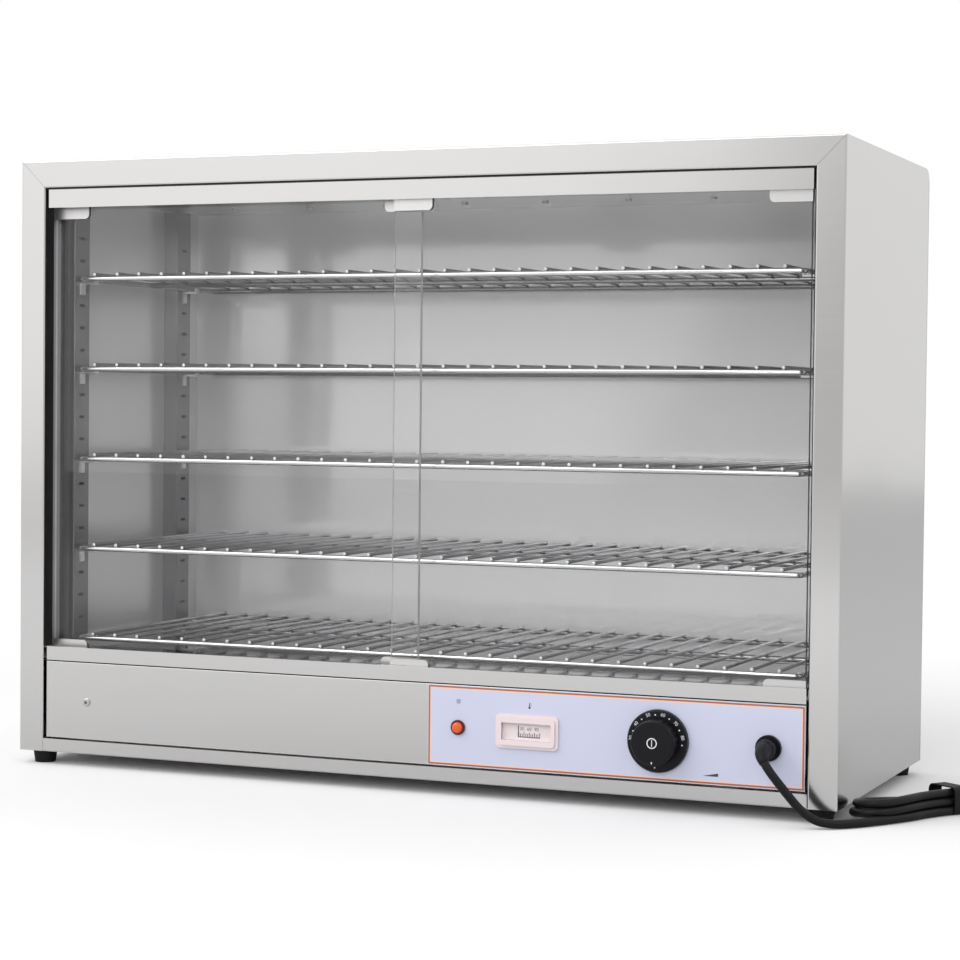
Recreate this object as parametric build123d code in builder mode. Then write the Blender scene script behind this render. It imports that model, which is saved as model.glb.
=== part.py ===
from build123d import *
import os
from math import pi, radians, tan

# A counter-top pie warmer: a folded sheet cabinet with a heated chamber, five wire shelves on slotted
# pilasters, two sliding glass doors, a control panel below them and a mains lead on its right.
# Millimetres, +Z up, the front faces -Y and the floor is at Z = 0.

os.makedirs("parts", exist_ok=True)

# Cabinet size and sheet
width = 900.0
depth = 362.0
body_height = 632.0
foot_height = 14.0
sheet = 1.0
bend = 1.6
band = 29.0
band_return = 18.0
mitre_gap = 0.35

# How far the knob and the rear screw heads stand out of the cabinet, which centres it in depth
knob_reach = 19.0
screw_head = 1.6
front_y = -(knob_reach + depth + screw_head) / 2 + knob_reach
back_y = front_y + depth
base_z = foot_height
top_z = base_z + body_height
half_width = width / 2
opening_half = half_width - band

# Chamber
wall_x = half_width - 20.0
chamber_front_y = front_y + 29.0
chamber_back_y = back_y - 12.0
chamber_floor_z = base_z + 100.0
chamber_top_z = top_z - 32.0

# Front parts between the side bands
recess = 3.0
front_part_half = half_width - 32.0
rail_height = 14.0
panel_low_z = base_z + 14.6
panel_high_z = base_z + 98.0
sill_low_z = base_z + 98.0
sill_high_z = base_z + 113.0
header_low_z = top_z - 50.0
header_high_z = top_z - band

# Sliding doors
pane_thickness = 5.0
pane_width = wall_x
pane_low_z = sill_low_z + 3.5
pane_high_z = header_low_z + 7.0
front_pane_y = front_y + 12.5
rear_pane_y = front_y + 22.5
door_left_x = -front_part_half - 1.5
door_right_x = front_part_half - 3.0
clip_length = 42.0
clip_height = 19.0
clip_sheet = 0.8

# Pilasters and their shelf clips
pilaster_stand_off = 18.0
pilaster_face = 30.0
pilaster_flange = 16.0
front_pilaster_y = front_y + 63.0
rear_pilaster_y = back_y - 76.0
slot_count = 19
slot_width = 10.0
slot_height = 3.0
clip_tab_width = 8.0
clip_tab_thickness = 1.6

# Wire shelves
shelf_count = 5
shelf_pitch = (chamber_top_z - chamber_floor_z - 15.0) / shelf_count
slot_pitch = shelf_pitch / 4
first_shelf_z = chamber_floor_z + 20.0
rail_wire = 5.6
shelf_wire = 3.2
weld_gap = 0.02
wire_count = 29
shelf_half_x = wall_x - 29.0
wire_pitch = 2 * (shelf_half_x - 18.8) / (wire_count - 1)
shelf_front_y = front_y + 42.0
shelf_rear_y = back_y - 24.0
shelf_corner = 16.0
shelf_lift_gap = 0.3

# Controls, all at one height on the lower panel
control_z = base_z + 55.0
overlay_left_x = front_part_half - 388.0
overlay_thickness = 0.4
overlay_y = front_y + recess - overlay_thickness
lamp_x = front_part_half - 355.0
thermometer_x = front_part_half - 281.0
knob_x = front_part_half - 145.0
gland_x = front_part_half - 35.4
terminal_x = front_part_half - 88.0
panel_screw_x = -front_part_half + 50.0
lamp_barrel = 12.0
spindle_diameter = 6.0
spindle_clearance = 0.05
bush_diameter = 10.0
bush_clearance = 0.3
gland_thread = 16.0
cord_diameter = 8.4

# Feet
foot_x = wall_x
front_foot_y = front_y + 20.0
rear_foot_y = back_y - 19.0
foot_top_radius = 13.0
foot_bottom_radius = 11.0
foot_screw_hole = 5.0


def save(builder, label):
    builder.part.label = label
    export_step(builder.part, f"parts/{label}.step")


def vent_slots(plane, centre, spacing, counts, length, height):
    # A field of round-ended vent slots on a plane, to be cut through the sheet that lies there
    with BuildSketch(plane) as slots:
        with Locations(centre):
            with GridLocations(*spacing, *counts):
                SlotOverall(length, height)
    return slots.sketch


# Side panels: one sheet each, folded into the front band, its return and a rear flange
with BuildPart() as right_side_panel:
    with BuildSketch(Plane.XY.offset(base_z)):
        with BuildLine():
            FilletPolyline(
                (opening_half, front_y + band_return),
                (opening_half, front_y),
                (half_width, front_y),
                (half_width, back_y - sheet),
                (half_width - 16, back_y - sheet),
                radius=bend,
            )
            offset(amount=sheet, side=Side.LEFT)
        make_face()
    extrude(amount=body_height)
    # The rear top corner follows the inside of the top panel's bend
    with BuildSketch(Plane.YZ.offset(half_width)):
        with BuildLine():
            Polyline(
                (back_y - sheet, base_z),
                (front_y, base_z),
                (front_y, top_z),
                (front_y + 2 * sheet, top_z),
                (front_y + 2 * sheet, top_z - sheet),
                (back_y - 15, top_z - sheet),
            )
            RadiusArc((back_y - 15, top_z - sheet), (back_y - sheet, top_z - 15), 14)
            Line((back_y - sheet, top_z - 15), (back_y - sheet, base_z))
        make_face()
    extrude(amount=-band - 2 * sheet, mode=Mode.INTERSECT)
    # The mitre against the top band
    with BuildSketch(Plane.XZ.offset(-front_y + sheet)):
        with BuildLine():
            Polyline(
                (opening_half - 2, top_z - band - 2),
                (half_width + 2, top_z + 2),
                (opening_half - 2, top_z + 2),
                close=True,
            )
        make_face()
    extrude(amount=-band_return - 3 * sheet, mode=Mode.SUBTRACT)
    # The return and the rear flange end above the base pan
    with BuildSketch(Plane.XY.offset(base_z)):
        with Locations((half_width - sheet, front_y + sheet)):
            Rectangle(band, depth, align=(Align.MAX, Align.MIN))
    extrude(amount=sheet + 0.2, mode=Mode.SUBTRACT)
save(right_side_panel, "right_side_panel")

with BuildPart() as left_side_panel:
    mirror(right_side_panel.part, about=Plane.YZ)
save(left_side_panel, "left_side_panel")

# Top panel: the top band, the roof and a rear drop in one sheet, mitred against the side bands
with BuildPart() as top_panel:
    with BuildSketch(Plane.YZ):
        with BuildLine():
            FilletPolyline(
                (front_y + band_return, top_z - band),
                (front_y, top_z - band),
                (front_y, top_z),
                (back_y, top_z),
                (back_y, top_z - 25),
                radius=[bend, bend, 15],
            )
            offset(amount=sheet, side=Side.RIGHT)
        make_face()
    extrude(amount=half_width, both=True)
    for side in (-1, 1):
        for reach, cut_top in ((2 * sheet, top_z + 2), (band_return + sheet, top_z - 2)):
            with BuildSketch(Plane.XZ.offset(-front_y + sheet)):
                with BuildLine():
                    drop = top_z - cut_top
                    Polyline(
                        (side * (opening_half - mitre_gap - 2), top_z - band - 2),
                        (side * (half_width - mitre_gap - drop), cut_top),
                        (side * (half_width + 2), cut_top),
                        (side * (half_width + 2), top_z - band - 2),
                        close=True,
                    )
                make_face()
            extrude(amount=-reach - sheet, mode=Mode.SUBTRACT)
save(top_panel, "top_panel")

# Back panel: a flat sheet lapped over the side flanges, with vent slots low down
with BuildPart() as back_panel:
    with BuildSketch(Plane.XZ.offset(-back_y)):
        with BuildLine():
            Polyline(
                (-half_width, base_z),
                (half_width, base_z),
                (half_width, top_z - 25.5),
                (-half_width, top_z - 25.5),
                close=True,
            )
        make_face()
    extrude(amount=sheet)
    back_slots = vent_slots(Plane.XZ.offset(-back_y), (0, base_z + 50), (60, 14), (8, 2), 40, 4)
    extrude(back_slots, amount=2 * sheet, both=True, mode=Mode.SUBTRACT)
save(back_panel, "back_panel")

# Base pan: the floor sheet with the bottom rail in front and low flanges at the sides and the rear
with BuildPart() as base_pan:
    with BuildSketch(Plane.YZ):
        with BuildLine():
            FilletPolyline(
                (front_y, base_z + rail_height),
                (front_y, base_z),
                (back_y - 2 * sheet, base_z),
                (back_y - 2 * sheet, base_z + 13),
                radius=bend,
            )
            offset(amount=sheet, side=Side.LEFT)
        make_face()
    extrude(amount=opening_half - 0.4, both=True)
    # The floor sheet widens behind the side bands
    with BuildSketch(Plane.XY.offset(base_z)):
        with Locations((0, front_y + sheet)):
            Rectangle(width - 2 * sheet, depth - 5 * sheet, align=(Align.CENTER, Align.MIN))
    extrude(amount=sheet)
    with BuildSketch(Plane.XY.offset(base_z)):
        for side in (-1, 1):
            with Locations((side * (half_width - 1.5 * sheet), (front_y + back_y) / 2)):
                Rectangle(sheet, depth - 60)
    extrude(amount=13)
    floor_slots = vent_slots(Plane.XY.offset(base_z), (0, 0), (80, 60), (8, 3), 50, 5)
    extrude(floor_slots, amount=2 * sheet, both=True, mode=Mode.SUBTRACT)
    with BuildSketch(Plane.XY.offset(base_z)):
        for side in (-1, 1):
            with Locations((side * foot_x, front_foot_y), (side * foot_x, rear_foot_y)):
                Circle(foot_screw_hole / 2)
    extrude(amount=2 * sheet, both=True, mode=Mode.SUBTRACT)
save(base_pan, "base_pan")

# Chamber liner: two walls, a back, a ceiling and a floor, each its own sheet
with BuildPart() as liner_right:
    with BuildSketch(Plane.XY.offset(chamber_floor_z)):
        with BuildLine():
            FilletPolyline(
                (half_width - sheet, chamber_front_y),
                (wall_x, chamber_front_y),
                (wall_x, chamber_back_y),
                radius=bend,
            )
            offset(amount=sheet, side=Side.RIGHT)
        make_face()
    extrude(amount=chamber_top_z - chamber_floor_z)
save(liner_right, "liner_right")

with BuildPart() as liner_left:
    mirror(liner_right.part, about=Plane.YZ)
save(liner_left, "liner_left")

with BuildPart() as liner_back:
    with BuildSketch(Plane.XZ.offset(-chamber_back_y)):
        with Locations((0, chamber_floor_z)):
            Rectangle(2 * wall_x + 2, chamber_top_z - chamber_floor_z, align=(Align.CENTER, Align.MIN))
    extrude(amount=-sheet)
save(liner_back, "liner_back")


def liner_shelf(label, level, turn, slots):
    # The ceiling turns up and the floor turns down at the front
    with BuildPart() as panel:
        with BuildSketch(Plane.YZ):
            with BuildLine():
                FilletPolyline(
                    (chamber_front_y, level + turn * 12),
                    (chamber_front_y, level),
                    (chamber_back_y + sheet, level),
                    radius=bend,
                )
                offset(amount=sheet, side=Side.LEFT if turn > 0 else Side.RIGHT)
            make_face()
        extrude(amount=wall_x + sheet, both=True)
        if slots:
            heat_slots = vent_slots(Plane.XY.offset(level), (0, chamber_back_y - 22), (110, 10), (7, 1), 80, 7)
            extrude(heat_slots, amount=2 * sheet, both=True, mode=Mode.SUBTRACT)
    save(panel, label)
    return panel


liner_ceiling = liner_shelf("liner_ceiling", chamber_top_z, 1, False)
liner_floor = liner_shelf("liner_floor", chamber_floor_z, -1, True)


# Door tracks: the same folded section below and above the panes, with a lip between the two panes
def door_track(label, open_z, closed_z, lip_z):
    with BuildPart() as track:
        with BuildSketch(Plane.YZ):
            with BuildLine():
                web = sheet if open_z > closed_z else -sheet
                Polyline(
                    (front_y + recess, closed_z),
                    (front_y + recess, open_z),
                    (front_y + recess + 4.5, open_z),
                    (front_y + recess + 4.5, open_z - 8 * web),
                    (front_y + recess + 3.5, open_z - 8 * web),
                    (front_y + recess + 3.5, open_z - web),
                    (front_y + recess + sheet, open_z - web),
                    (front_y + recess + sheet, closed_z + web),
                    (front_y + 17, closed_z + web),
                    (front_y + 17, lip_z),
                    (front_y + 18, lip_z),
                    (front_y + 18, closed_z + web),
                    (front_y + 28, closed_z + web),
                    (front_y + 28, open_z - 2 * web),
                    (front_y + 29, open_z - 2 * web),
                    (front_y + 29, closed_z),
                    close=True,
                )
            make_face()
        extrude(amount=front_part_half, both=True)
    save(track, label)
    return track


door_sill_track = door_track("door_sill_track", sill_high_z, sill_low_z, sill_high_z - 3)
door_header_track = door_track("door_header_track", header_low_z, header_high_z, header_low_z + 2)

# Low-friction strips that the doors slide on
with BuildPart() as sill_glides:
    with BuildSketch(Plane.XY.offset(sill_low_z + sheet)):
        with Locations((0, front_pane_y), (0, rear_pane_y)):
            Rectangle(2 * front_part_half - 10, 4)
    extrude(amount=pane_low_z - clip_sheet - 0.3 - sill_low_z - sheet)
save(sill_glides, "sill_glides")


# Lower panel, with the cut-outs that it shares with the control overlay
case_width = 56.0
case_height = 24.0
with BuildSketch(Plane.XZ.offset(-front_y)) as control_cutouts:
    with Locations((lamp_x, control_z)):
        Circle(lamp_barrel / 2)
    with Locations((thermometer_x, control_z)):
        Rectangle(case_width, case_height)
    with Locations((knob_x, control_z)):
        Circle(bush_diameter / 2)
    with Locations((gland_x, control_z)):
        Circle(gland_thread / 2)

with BuildPart() as front_panel:
    with BuildSketch(Plane.YZ):
        with BuildLine():
            FilletPolyline(
                (front_y + recess + 16, panel_low_z),
                (front_y + recess, panel_low_z),
                (front_y + recess, panel_high_z),
                (front_y + recess + 16, panel_high_z),
                radius=bend,
            )
            offset(amount=sheet, side=Side.RIGHT)
        make_face()
    extrude(amount=front_part_half, both=True)
    extrude(control_cutouts.sketch, amount=recess + 2 * sheet, both=True, mode=Mode.SUBTRACT)
    with BuildSketch(Plane.XZ.offset(-front_y)):
        with Locations((panel_screw_x, control_z)):
            Circle(2)
    extrude(amount=recess + 2 * sheet, both=True, mode=Mode.SUBTRACT)
save(front_panel, "front_panel")

with BuildPart() as control_overlay:
    with BuildSketch(Plane.XZ.offset(-overlay_y)):
        with BuildLine():
            Polyline(
                (overlay_left_x, panel_low_z + bend),
                (front_part_half - 0.5, panel_low_z + bend),
                (front_part_half - 0.5, panel_high_z - bend),
                (overlay_left_x, panel_high_z - bend),
                close=True,
            )
        make_face()
    extrude(amount=-overlay_thickness)
    extrude(control_cutouts.sketch, amount=recess + 2 * sheet, both=True, mode=Mode.SUBTRACT)
save(control_overlay, "control_overlay")

# Divider between the control bay and the heater bay
with BuildPart() as control_divider:
    with BuildSketch(Plane.YZ):
        with BuildLine():
            FilletPolyline(
                (front_y + 58, base_z + sheet),
                (front_y + 46, base_z + sheet),
                (front_y + 46, chamber_floor_z - 12),
                radius=bend,
            )
            offset(amount=sheet, side=Side.RIGHT)
        make_face()
    extrude(amount=wall_x, both=True)
save(control_divider, "control_divider")


# Pilasters: hat sections on the chamber walls, with a ladder of slots for the shelf clips
pilaster_face_x = wall_x - pilaster_stand_off
pilaster_low_z = chamber_floor_z + 2
pilaster_length = chamber_top_z - chamber_floor_z - 4
slot_low_z = first_shelf_z - rail_wire / 2 - clip_tab_thickness / 2


def pilaster(label, side, centre_y):
    with BuildPart() as post:
        with BuildSketch(Plane.XY.offset(pilaster_low_z)):
            with BuildLine():
                FilletPolyline(
                    (side * wall_x, centre_y - pilaster_face / 2),
                    (side * pilaster_face_x, centre_y - pilaster_face / 2),
                    (side * pilaster_face_x, centre_y + pilaster_face / 2),
                    (side * (wall_x - sheet), centre_y + pilaster_face / 2),
                    (side * (wall_x - sheet), centre_y + pilaster_face / 2 + pilaster_flange),
                    radius=0.9,
                )
                offset(amount=sheet, side=Side.RIGHT if side > 0 else Side.LEFT)
            make_face()
        extrude(amount=pilaster_length)
        with BuildSketch(Plane.YZ.offset(side * pilaster_face_x)):
            with Locations((centre_y, slot_low_z + (slot_count - 1) * slot_pitch / 2)):
                with GridLocations(1, slot_pitch, 1, slot_count):
                    Rectangle(slot_width, slot_height)
        extrude(amount=2 * sheet, both=True, mode=Mode.SUBTRACT)
    save(post, label)
    return post


pilaster_front_right = pilaster("pilaster_front_right", 1, front_pilaster_y)
pilaster_rear_right = pilaster("pilaster_rear_right", 1, rear_pilaster_y)
pilaster_front_left = pilaster("pilaster_front_left", -1, front_pilaster_y)
pilaster_rear_left = pilaster("pilaster_rear_left", -1, rear_pilaster_y)

# Shelf clips: a tab through a pilaster slot, with a leg down the face and an upturned end
clip_end_x = shelf_half_x - rail_wire / 2 - 3
clip_top = clip_tab_thickness / 2 - shelf_lift_gap
with BuildPart() as shelf_clips:
    for side in (-1, 1):
        for centre_y in (front_pilaster_y, rear_pilaster_y):
            with BuildSketch(Plane.XZ.offset(-centre_y)):
                for level in range(shelf_count):
                    top = slot_low_z + level * shelf_pitch + clip_top
                    with BuildLine():
                        Polyline(
                            (side * (pilaster_face_x + 5), top),
                            (side * clip_end_x, top),
                            (side * clip_end_x, top + 4),
                            (side * (clip_end_x - clip_tab_thickness), top + 4),
                            (side * (clip_end_x - clip_tab_thickness), top - clip_tab_thickness),
                            (side * (pilaster_face_x - clip_tab_thickness), top - clip_tab_thickness),
                            (side * (pilaster_face_x - clip_tab_thickness), top - 13),
                            (side * pilaster_face_x, top - 13),
                            (side * pilaster_face_x, top - clip_tab_thickness),
                            (side * (pilaster_face_x + 5), top - clip_tab_thickness),
                            close=True,
                        )
                    make_face()
            extrude(amount=clip_tab_width / 2, both=True)
save(shelf_clips, "shelf_clips")


# Wire shelves: a bent frame wire, a middle rail and welded wires that run front to back on top
def wire_shelf(number):
    level = first_shelf_z + (number - 1) * shelf_pitch
    wire_z = level + rail_wire / 2 + shelf_wire / 2 + weld_gap
    middle_y = (shelf_front_y + shelf_rear_y) / 2
    with BuildPart() as shelf:
        with BuildLine() as frame_path:
            with BuildLine(Plane.XY.offset(level)):
                FilletPolyline(
                    (-shelf_half_x, shelf_front_y),
                    (shelf_half_x, shelf_front_y),
                    (shelf_half_x, shelf_rear_y),
                    (-shelf_half_x, shelf_rear_y),
                    close=True,
                    radius=shelf_corner,
                )
        with BuildSketch(Plane.YZ):
            with Locations((shelf_front_y, level)):
                Circle(rail_wire / 2)
        sweep(path=frame_path.wires()[0])
        with BuildSketch(Plane.YZ):
            with Locations((middle_y, level)):
                Circle(rail_wire / 2)
        extrude(amount=shelf_half_x, both=True)
        with BuildSketch(Plane.XZ.offset(-shelf_front_y + rail_wire / 2 + 1)):
            with Locations((0, wire_z)):
                with GridLocations(wire_pitch, 1, wire_count, 1):
                    Circle(shelf_wire / 2)
        extrude(amount=-(shelf_rear_y - shelf_front_y + rail_wire + 1))
    save(shelf, f"wire_shelf_{number}")
    return shelf


wire_shelves = [wire_shelf(number) for number in range(1, shelf_count + 1)]


# Sliding doors: a glass pane each, with four folded corner clips
def door(label, left_x, pane_y):
    pane_height = pane_high_z - pane_low_z
    centre = (left_x + pane_width / 2, (pane_low_z + pane_high_z) / 2)
    with BuildPart() as glass:
        with BuildSketch(Plane.XZ.offset(-pane_y)):
            with Locations(centre):
                Rectangle(pane_width, pane_height)
        extrude(amount=pane_thickness / 2, both=True)
    save(glass, f"{label}_glass")
    with BuildPart() as clips:
        with BuildSketch(Plane.XZ.offset(-pane_y)) as clips_face:
            for across in (-1, 1):
                for up in (-1, 1):
                    corner_x = centre[0] + across * (pane_width / 2 + clip_sheet)
                    corner_z = centre[1] + up * (pane_height / 2 + clip_sheet)
                    with Locations((corner_x, corner_z)):
                        side_align = Align.MAX if across > 0 else Align.MIN
                        height_align = Align.MAX if up > 0 else Align.MIN
                        Rectangle(clip_length, clip_height, align=(side_align, height_align))
            # Each clip has one rounded corner, over the glass
            inner_x = pane_width / 2 + clip_sheet - clip_length
            inner_z = pane_height / 2 + clip_sheet - clip_height
            rounded = clips_face.vertices().filter_by(
                lambda corner: abs(abs(corner.X - centre[0]) - inner_x) < 0.1
                and abs(abs(corner.Y - centre[1]) - inner_z) < 0.1
            )
            fillet(rounded, radius=5)
        extrude(amount=pane_thickness / 2 + clip_sheet, both=True)
        add(glass.part, mode=Mode.SUBTRACT)
    save(clips, f"{label}_clips")
    return glass, clips


right_door = door("right_door", door_right_x - pane_width, front_pane_y)
left_door = door("left_door", door_left_x, rear_pane_y)

# Pilot lamp
with BuildPart() as pilot_lamp_body:
    with BuildSketch(Plane.XZ.offset(-overlay_y)):
        with Locations((lamp_x, control_z)):
            Circle(7.5)
    extrude(amount=2.2)
    with BuildSketch(Plane.XZ.offset(-overlay_y)):
        with Locations((lamp_x, control_z)):
            Circle(lamp_barrel / 2)
    extrude(amount=-24)
    with BuildSketch(Plane.XZ.offset(-overlay_y + 2.2)):
        with Locations((lamp_x, control_z)):
            Circle(5.4)
    extrude(amount=-4, mode=Mode.SUBTRACT)
save(pilot_lamp_body, "pilot_lamp_body")

with BuildPart() as pilot_lamp_lens:
    with BuildSketch(Plane.XZ.offset(-overlay_y - 1.8)):
        with Locations((lamp_x, control_z)):
            Circle(5.4)
    extrude(amount=8)
    fillet(pilot_lamp_lens.edges().sort_by(Axis.Y)[0], radius=3)
save(pilot_lamp_lens, "pilot_lamp_lens")

# Thermometer: a bezel with a raised frame, a dial plate and a clear window
bezel_step = 2.4
frame_step = 2.2
with BuildPart() as thermometer_case:
    with BuildSketch(Plane.XZ.offset(-overlay_y)):
        with Locations((thermometer_x, control_z)):
            RectangleRounded(66, 34, 5)
    extrude(amount=bezel_step)
    with BuildSketch(Plane.XZ.offset(-overlay_y + bezel_step)):
        with Locations((thermometer_x, control_z)):
            RectangleRounded(60, 28, 4)
    extrude(amount=frame_step)
    with BuildSketch(Plane.XZ.offset(-overlay_y)):
        with Locations((thermometer_x, control_z)):
            Rectangle(case_width, case_height)
    extrude(amount=-16)
    with BuildSketch(Plane.XZ.offset(-overlay_y + bezel_step + frame_step)):
        with Locations((thermometer_x, control_z)):
            Rectangle(52, 17)
    extrude(amount=-6, mode=Mode.SUBTRACT)
save(thermometer_case, "thermometer_case")

with BuildPart() as thermometer_dial:
    with BuildSketch(Plane.XZ.offset(-overlay_y + bezel_step + frame_step - 6)):
        with Locations((thermometer_x, control_z)):
            Rectangle(52, 17)
    extrude(amount=1)
save(thermometer_dial, "thermometer_dial")

with BuildPart() as thermometer_window:
    with BuildSketch(Plane.XZ.offset(-overlay_y + bezel_step + frame_step - 2.4)):
        with Locations((thermometer_x, control_z)):
            Rectangle(52, 17)
    extrude(amount=1.4)
save(thermometer_window, "thermometer_window")

# Thermostat: the body behind the panel, its bush and nut, and the spindle that the knob is pressed on
nut_thickness = 3.0
thermostat_front_y = front_y + recess + sheet
with BuildPart() as thermostat_body:
    with BuildSketch(Plane.XZ.offset(-thermostat_front_y)):
        with Locations((knob_x, control_z)):
            Rectangle(46, 42)
    extrude(amount=-30)
    with BuildSketch(Plane.XZ.offset(-thermostat_front_y)):
        with Locations((knob_x, control_z)):
            Circle(bush_diameter / 2)
    extrude(amount=10)
    with BuildSketch(Plane.XZ.offset(-thermostat_front_y + 10)):
        with Locations((knob_x, control_z)):
            Circle(spindle_diameter / 2 + spindle_clearance)
    extrude(amount=-26, mode=Mode.SUBTRACT)
save(thermostat_body, "thermostat_body")

with BuildPart() as thermostat_nut:
    with BuildSketch(Plane.XZ.offset(-overlay_y)):
        with Locations((knob_x, control_z)):
            RegularPolygon(8, 6)
            Circle(bush_diameter / 2, mode=Mode.SUBTRACT)
    extrude(amount=nut_thickness)
save(thermostat_nut, "thermostat_nut")

knob_front_y = front_y - knob_reach
knob_rear_y = overlay_y - bush_clearance
with BuildPart() as thermostat_knob:
    with BuildSketch(Plane.XZ.offset(-knob_rear_y)):
        with Locations((knob_x, control_z)):
            Circle(30.5)
    extrude(amount=6)
    fillet(thermostat_knob.edges().sort_by(Axis.Y)[0], radius=2)
    with BuildSketch(Plane.XZ.offset(-knob_rear_y + 6)):
        with Locations((knob_x, control_z)):
            Circle(22.5)
    extrude(amount=knob_rear_y - 6 - knob_front_y, taper=3)
    fillet(thermostat_knob.edges().sort_by(Axis.Y)[0], radius=2)
    with BuildSketch(Plane.XZ.offset(-knob_rear_y)):
        with Locations((knob_x, control_z)):
            Circle(12)
    extrude(amount=10, mode=Mode.SUBTRACT)
    with BuildSketch(Plane.XZ.offset(-knob_rear_y + 10)):
        with Locations((knob_x, control_z)):
            Circle(spindle_diameter / 2)
    extrude(amount=7, mode=Mode.SUBTRACT)
save(thermostat_knob, "thermostat_knob")

with BuildPart() as knob_spindle:
    with BuildSketch(Plane.XZ.offset(-knob_rear_y + 17)):
        with Locations((knob_x, control_z)):
            Circle(spindle_diameter / 2)
    extrude(amount=-(thermostat_front_y + 14 - knob_rear_y + 17))
save(knob_spindle, "knob_spindle")

# Capillary and bulb of the thermostat, under the chamber floor
bulb_diameter = 6.0
bulb_z = chamber_floor_z - sheet - bulb_diameter / 2
bulb_y = front_y + 100.0
with BuildPart() as thermostat_probe:
    with BuildSketch(Plane.YZ.offset(knob_x - 20)):
        with Locations((bulb_y, bulb_z)):
            Circle(bulb_diameter / 2)
    extrude(amount=-110)
    with BuildLine() as capillary_path:
        FilletPolyline(
            (knob_x + 10, thermostat_front_y + 30, control_z + 10),
            (knob_x + 10, front_y + 42, control_z + 10),
            (knob_x + 10, front_y + 42, bulb_z),
            (knob_x + 10, bulb_y, bulb_z),
            (knob_x - 20, bulb_y, bulb_z),
            radius=3,
        )
    with BuildSketch(Plane.XZ.offset(-thermostat_front_y - 30)):
        with Locations((knob_x + 10, control_z + 10)):
            Circle(1)
    sweep(path=capillary_path.wires()[0])
save(thermostat_probe, "thermostat_probe")

# Heating element: a sheathed tube in two hairpins, held by upright brackets on the base pan
element_diameter = 8.0
element_z = base_z + 62.0
element_half_x = wall_x - 50.0
element_first_y = front_y + 110.0
element_row_pitch = (back_y - 72.0 - element_first_y) / 3
element_rows = [element_first_y + row * element_row_pitch for row in range(4)]
with BuildPart() as heating_element:
    with BuildLine() as element_path:
        with BuildLine(Plane.XY.offset(element_z)):
            FilletPolyline(
                (-element_half_x, element_rows[0]),
                (element_half_x, element_rows[0]),
                (element_half_x, element_rows[1]),
                (-element_half_x + 60, element_rows[1]),
                (-element_half_x + 60, element_rows[2]),
                (element_half_x, element_rows[2]),
                (element_half_x, element_rows[3]),
                (-element_half_x, element_rows[3]),
                radius=25,
            )
    with BuildSketch(Plane.YZ.offset(-element_half_x)):
        with Locations((element_rows[0], element_z)):
            Circle(element_diameter / 2)
    sweep(path=element_path.wires()[0])
save(heating_element, "heating_element")


def element_bracket(label, centre_x):
    with BuildPart() as bracket:
        with BuildSketch(Plane.YZ.offset(centre_x)):
            with Locations(((element_rows[0] + element_rows[3]) / 2, base_z + sheet)):
                Rectangle(3.5 * element_row_pitch, element_z - base_z + 8, align=(Align.CENTER, Align.MIN))
            for row in element_rows:
                with Locations((row, element_z)):
                    Circle(element_diameter / 2, mode=Mode.SUBTRACT)
        extrude(amount=0.75, both=True)
    save(bracket, label)
    return bracket


element_bracket_left = element_bracket("element_bracket_left", -element_half_x + 130)
element_bracket_right = element_bracket("element_bracket_right", element_half_x - 130)

# Terminal block for the mains lead
with BuildPart() as terminal_block:
    with BuildSketch(Plane.XY.offset(base_z + sheet)):
        with Locations((terminal_x, front_y + 34)):
            Rectangle(36, 22)
    extrude(amount=16)
    with BuildSketch(Plane.XY.offset(base_z + sheet + 16)):
        with Locations((terminal_x, front_y + 34)):
            with GridLocations(11, 1, 3, 1):
                Circle(2.2)
    extrude(amount=-6, mode=Mode.SUBTRACT)
save(terminal_block, "terminal_block")

# Cable gland: a flange and a nose in front of the panel, a thread through it and a nut behind
gland_nose_y = front_y - 14.0
with BuildPart() as cable_gland:
    with BuildSketch(Plane.XZ.offset(-overlay_y)):
        with Locations((gland_x, control_z)):
            Circle(12.5)
    extrude(amount=4)
    with BuildSketch(Plane.XZ.offset(-overlay_y + 4)):
        with Locations((gland_x, control_z)):
            Circle(9.5)
    extrude(amount=overlay_y - 4 - gland_nose_y)
    fillet(cable_gland.edges().sort_by(Axis.Y)[0], radius=3)
    with BuildSketch(Plane.XZ.offset(-overlay_y)):
        with Locations((gland_x, control_z)):
            Circle(gland_thread / 2)
    extrude(amount=-16)
    with BuildSketch(Plane.XZ.offset(-gland_nose_y)):
        with Locations((gland_x, control_z)):
            Circle(cord_diameter / 2)
    extrude(amount=-40, mode=Mode.SUBTRACT)
save(cable_gland, "cable_gland")

with BuildPart() as cable_gland_nut:
    with BuildSketch(Plane.XZ.offset(-thermostat_front_y)):
        with Locations((gland_x, control_z)):
            RegularPolygon(12, 6)
            Circle(gland_thread / 2, mode=Mode.SUBTRACT)
    extrude(amount=-5)
save(cable_gland_nut, "cable_gland_nut")


# Feet: tapered rubber, each with its screw up through the base pan
def foot(label, centre):
    with BuildPart() as rubber:
        with BuildSketch(Plane.XY):
            with Locations(centre):
                Circle(foot_bottom_radius)
        with BuildSketch(Plane.XY.offset(foot_height)):
            with Locations(centre):
                Circle(foot_top_radius)
        loft()
        with BuildSketch(Plane.XY):
            with Locations(centre):
                Circle(5.5)
        extrude(amount=6, mode=Mode.SUBTRACT)
        with BuildSketch(Plane.XY):
            with Locations(centre):
                Circle(foot_screw_hole / 2)
        extrude(amount=foot_height, mode=Mode.SUBTRACT)
    save(rubber, label)
    return rubber


foot_front_left = foot("foot_front_left", (-foot_x, front_foot_y))
foot_front_right = foot("foot_front_right", (foot_x, front_foot_y))
foot_rear_left = foot("foot_rear_left", (-foot_x, rear_foot_y))
foot_rear_right = foot("foot_rear_right", (foot_x, rear_foot_y))

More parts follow.
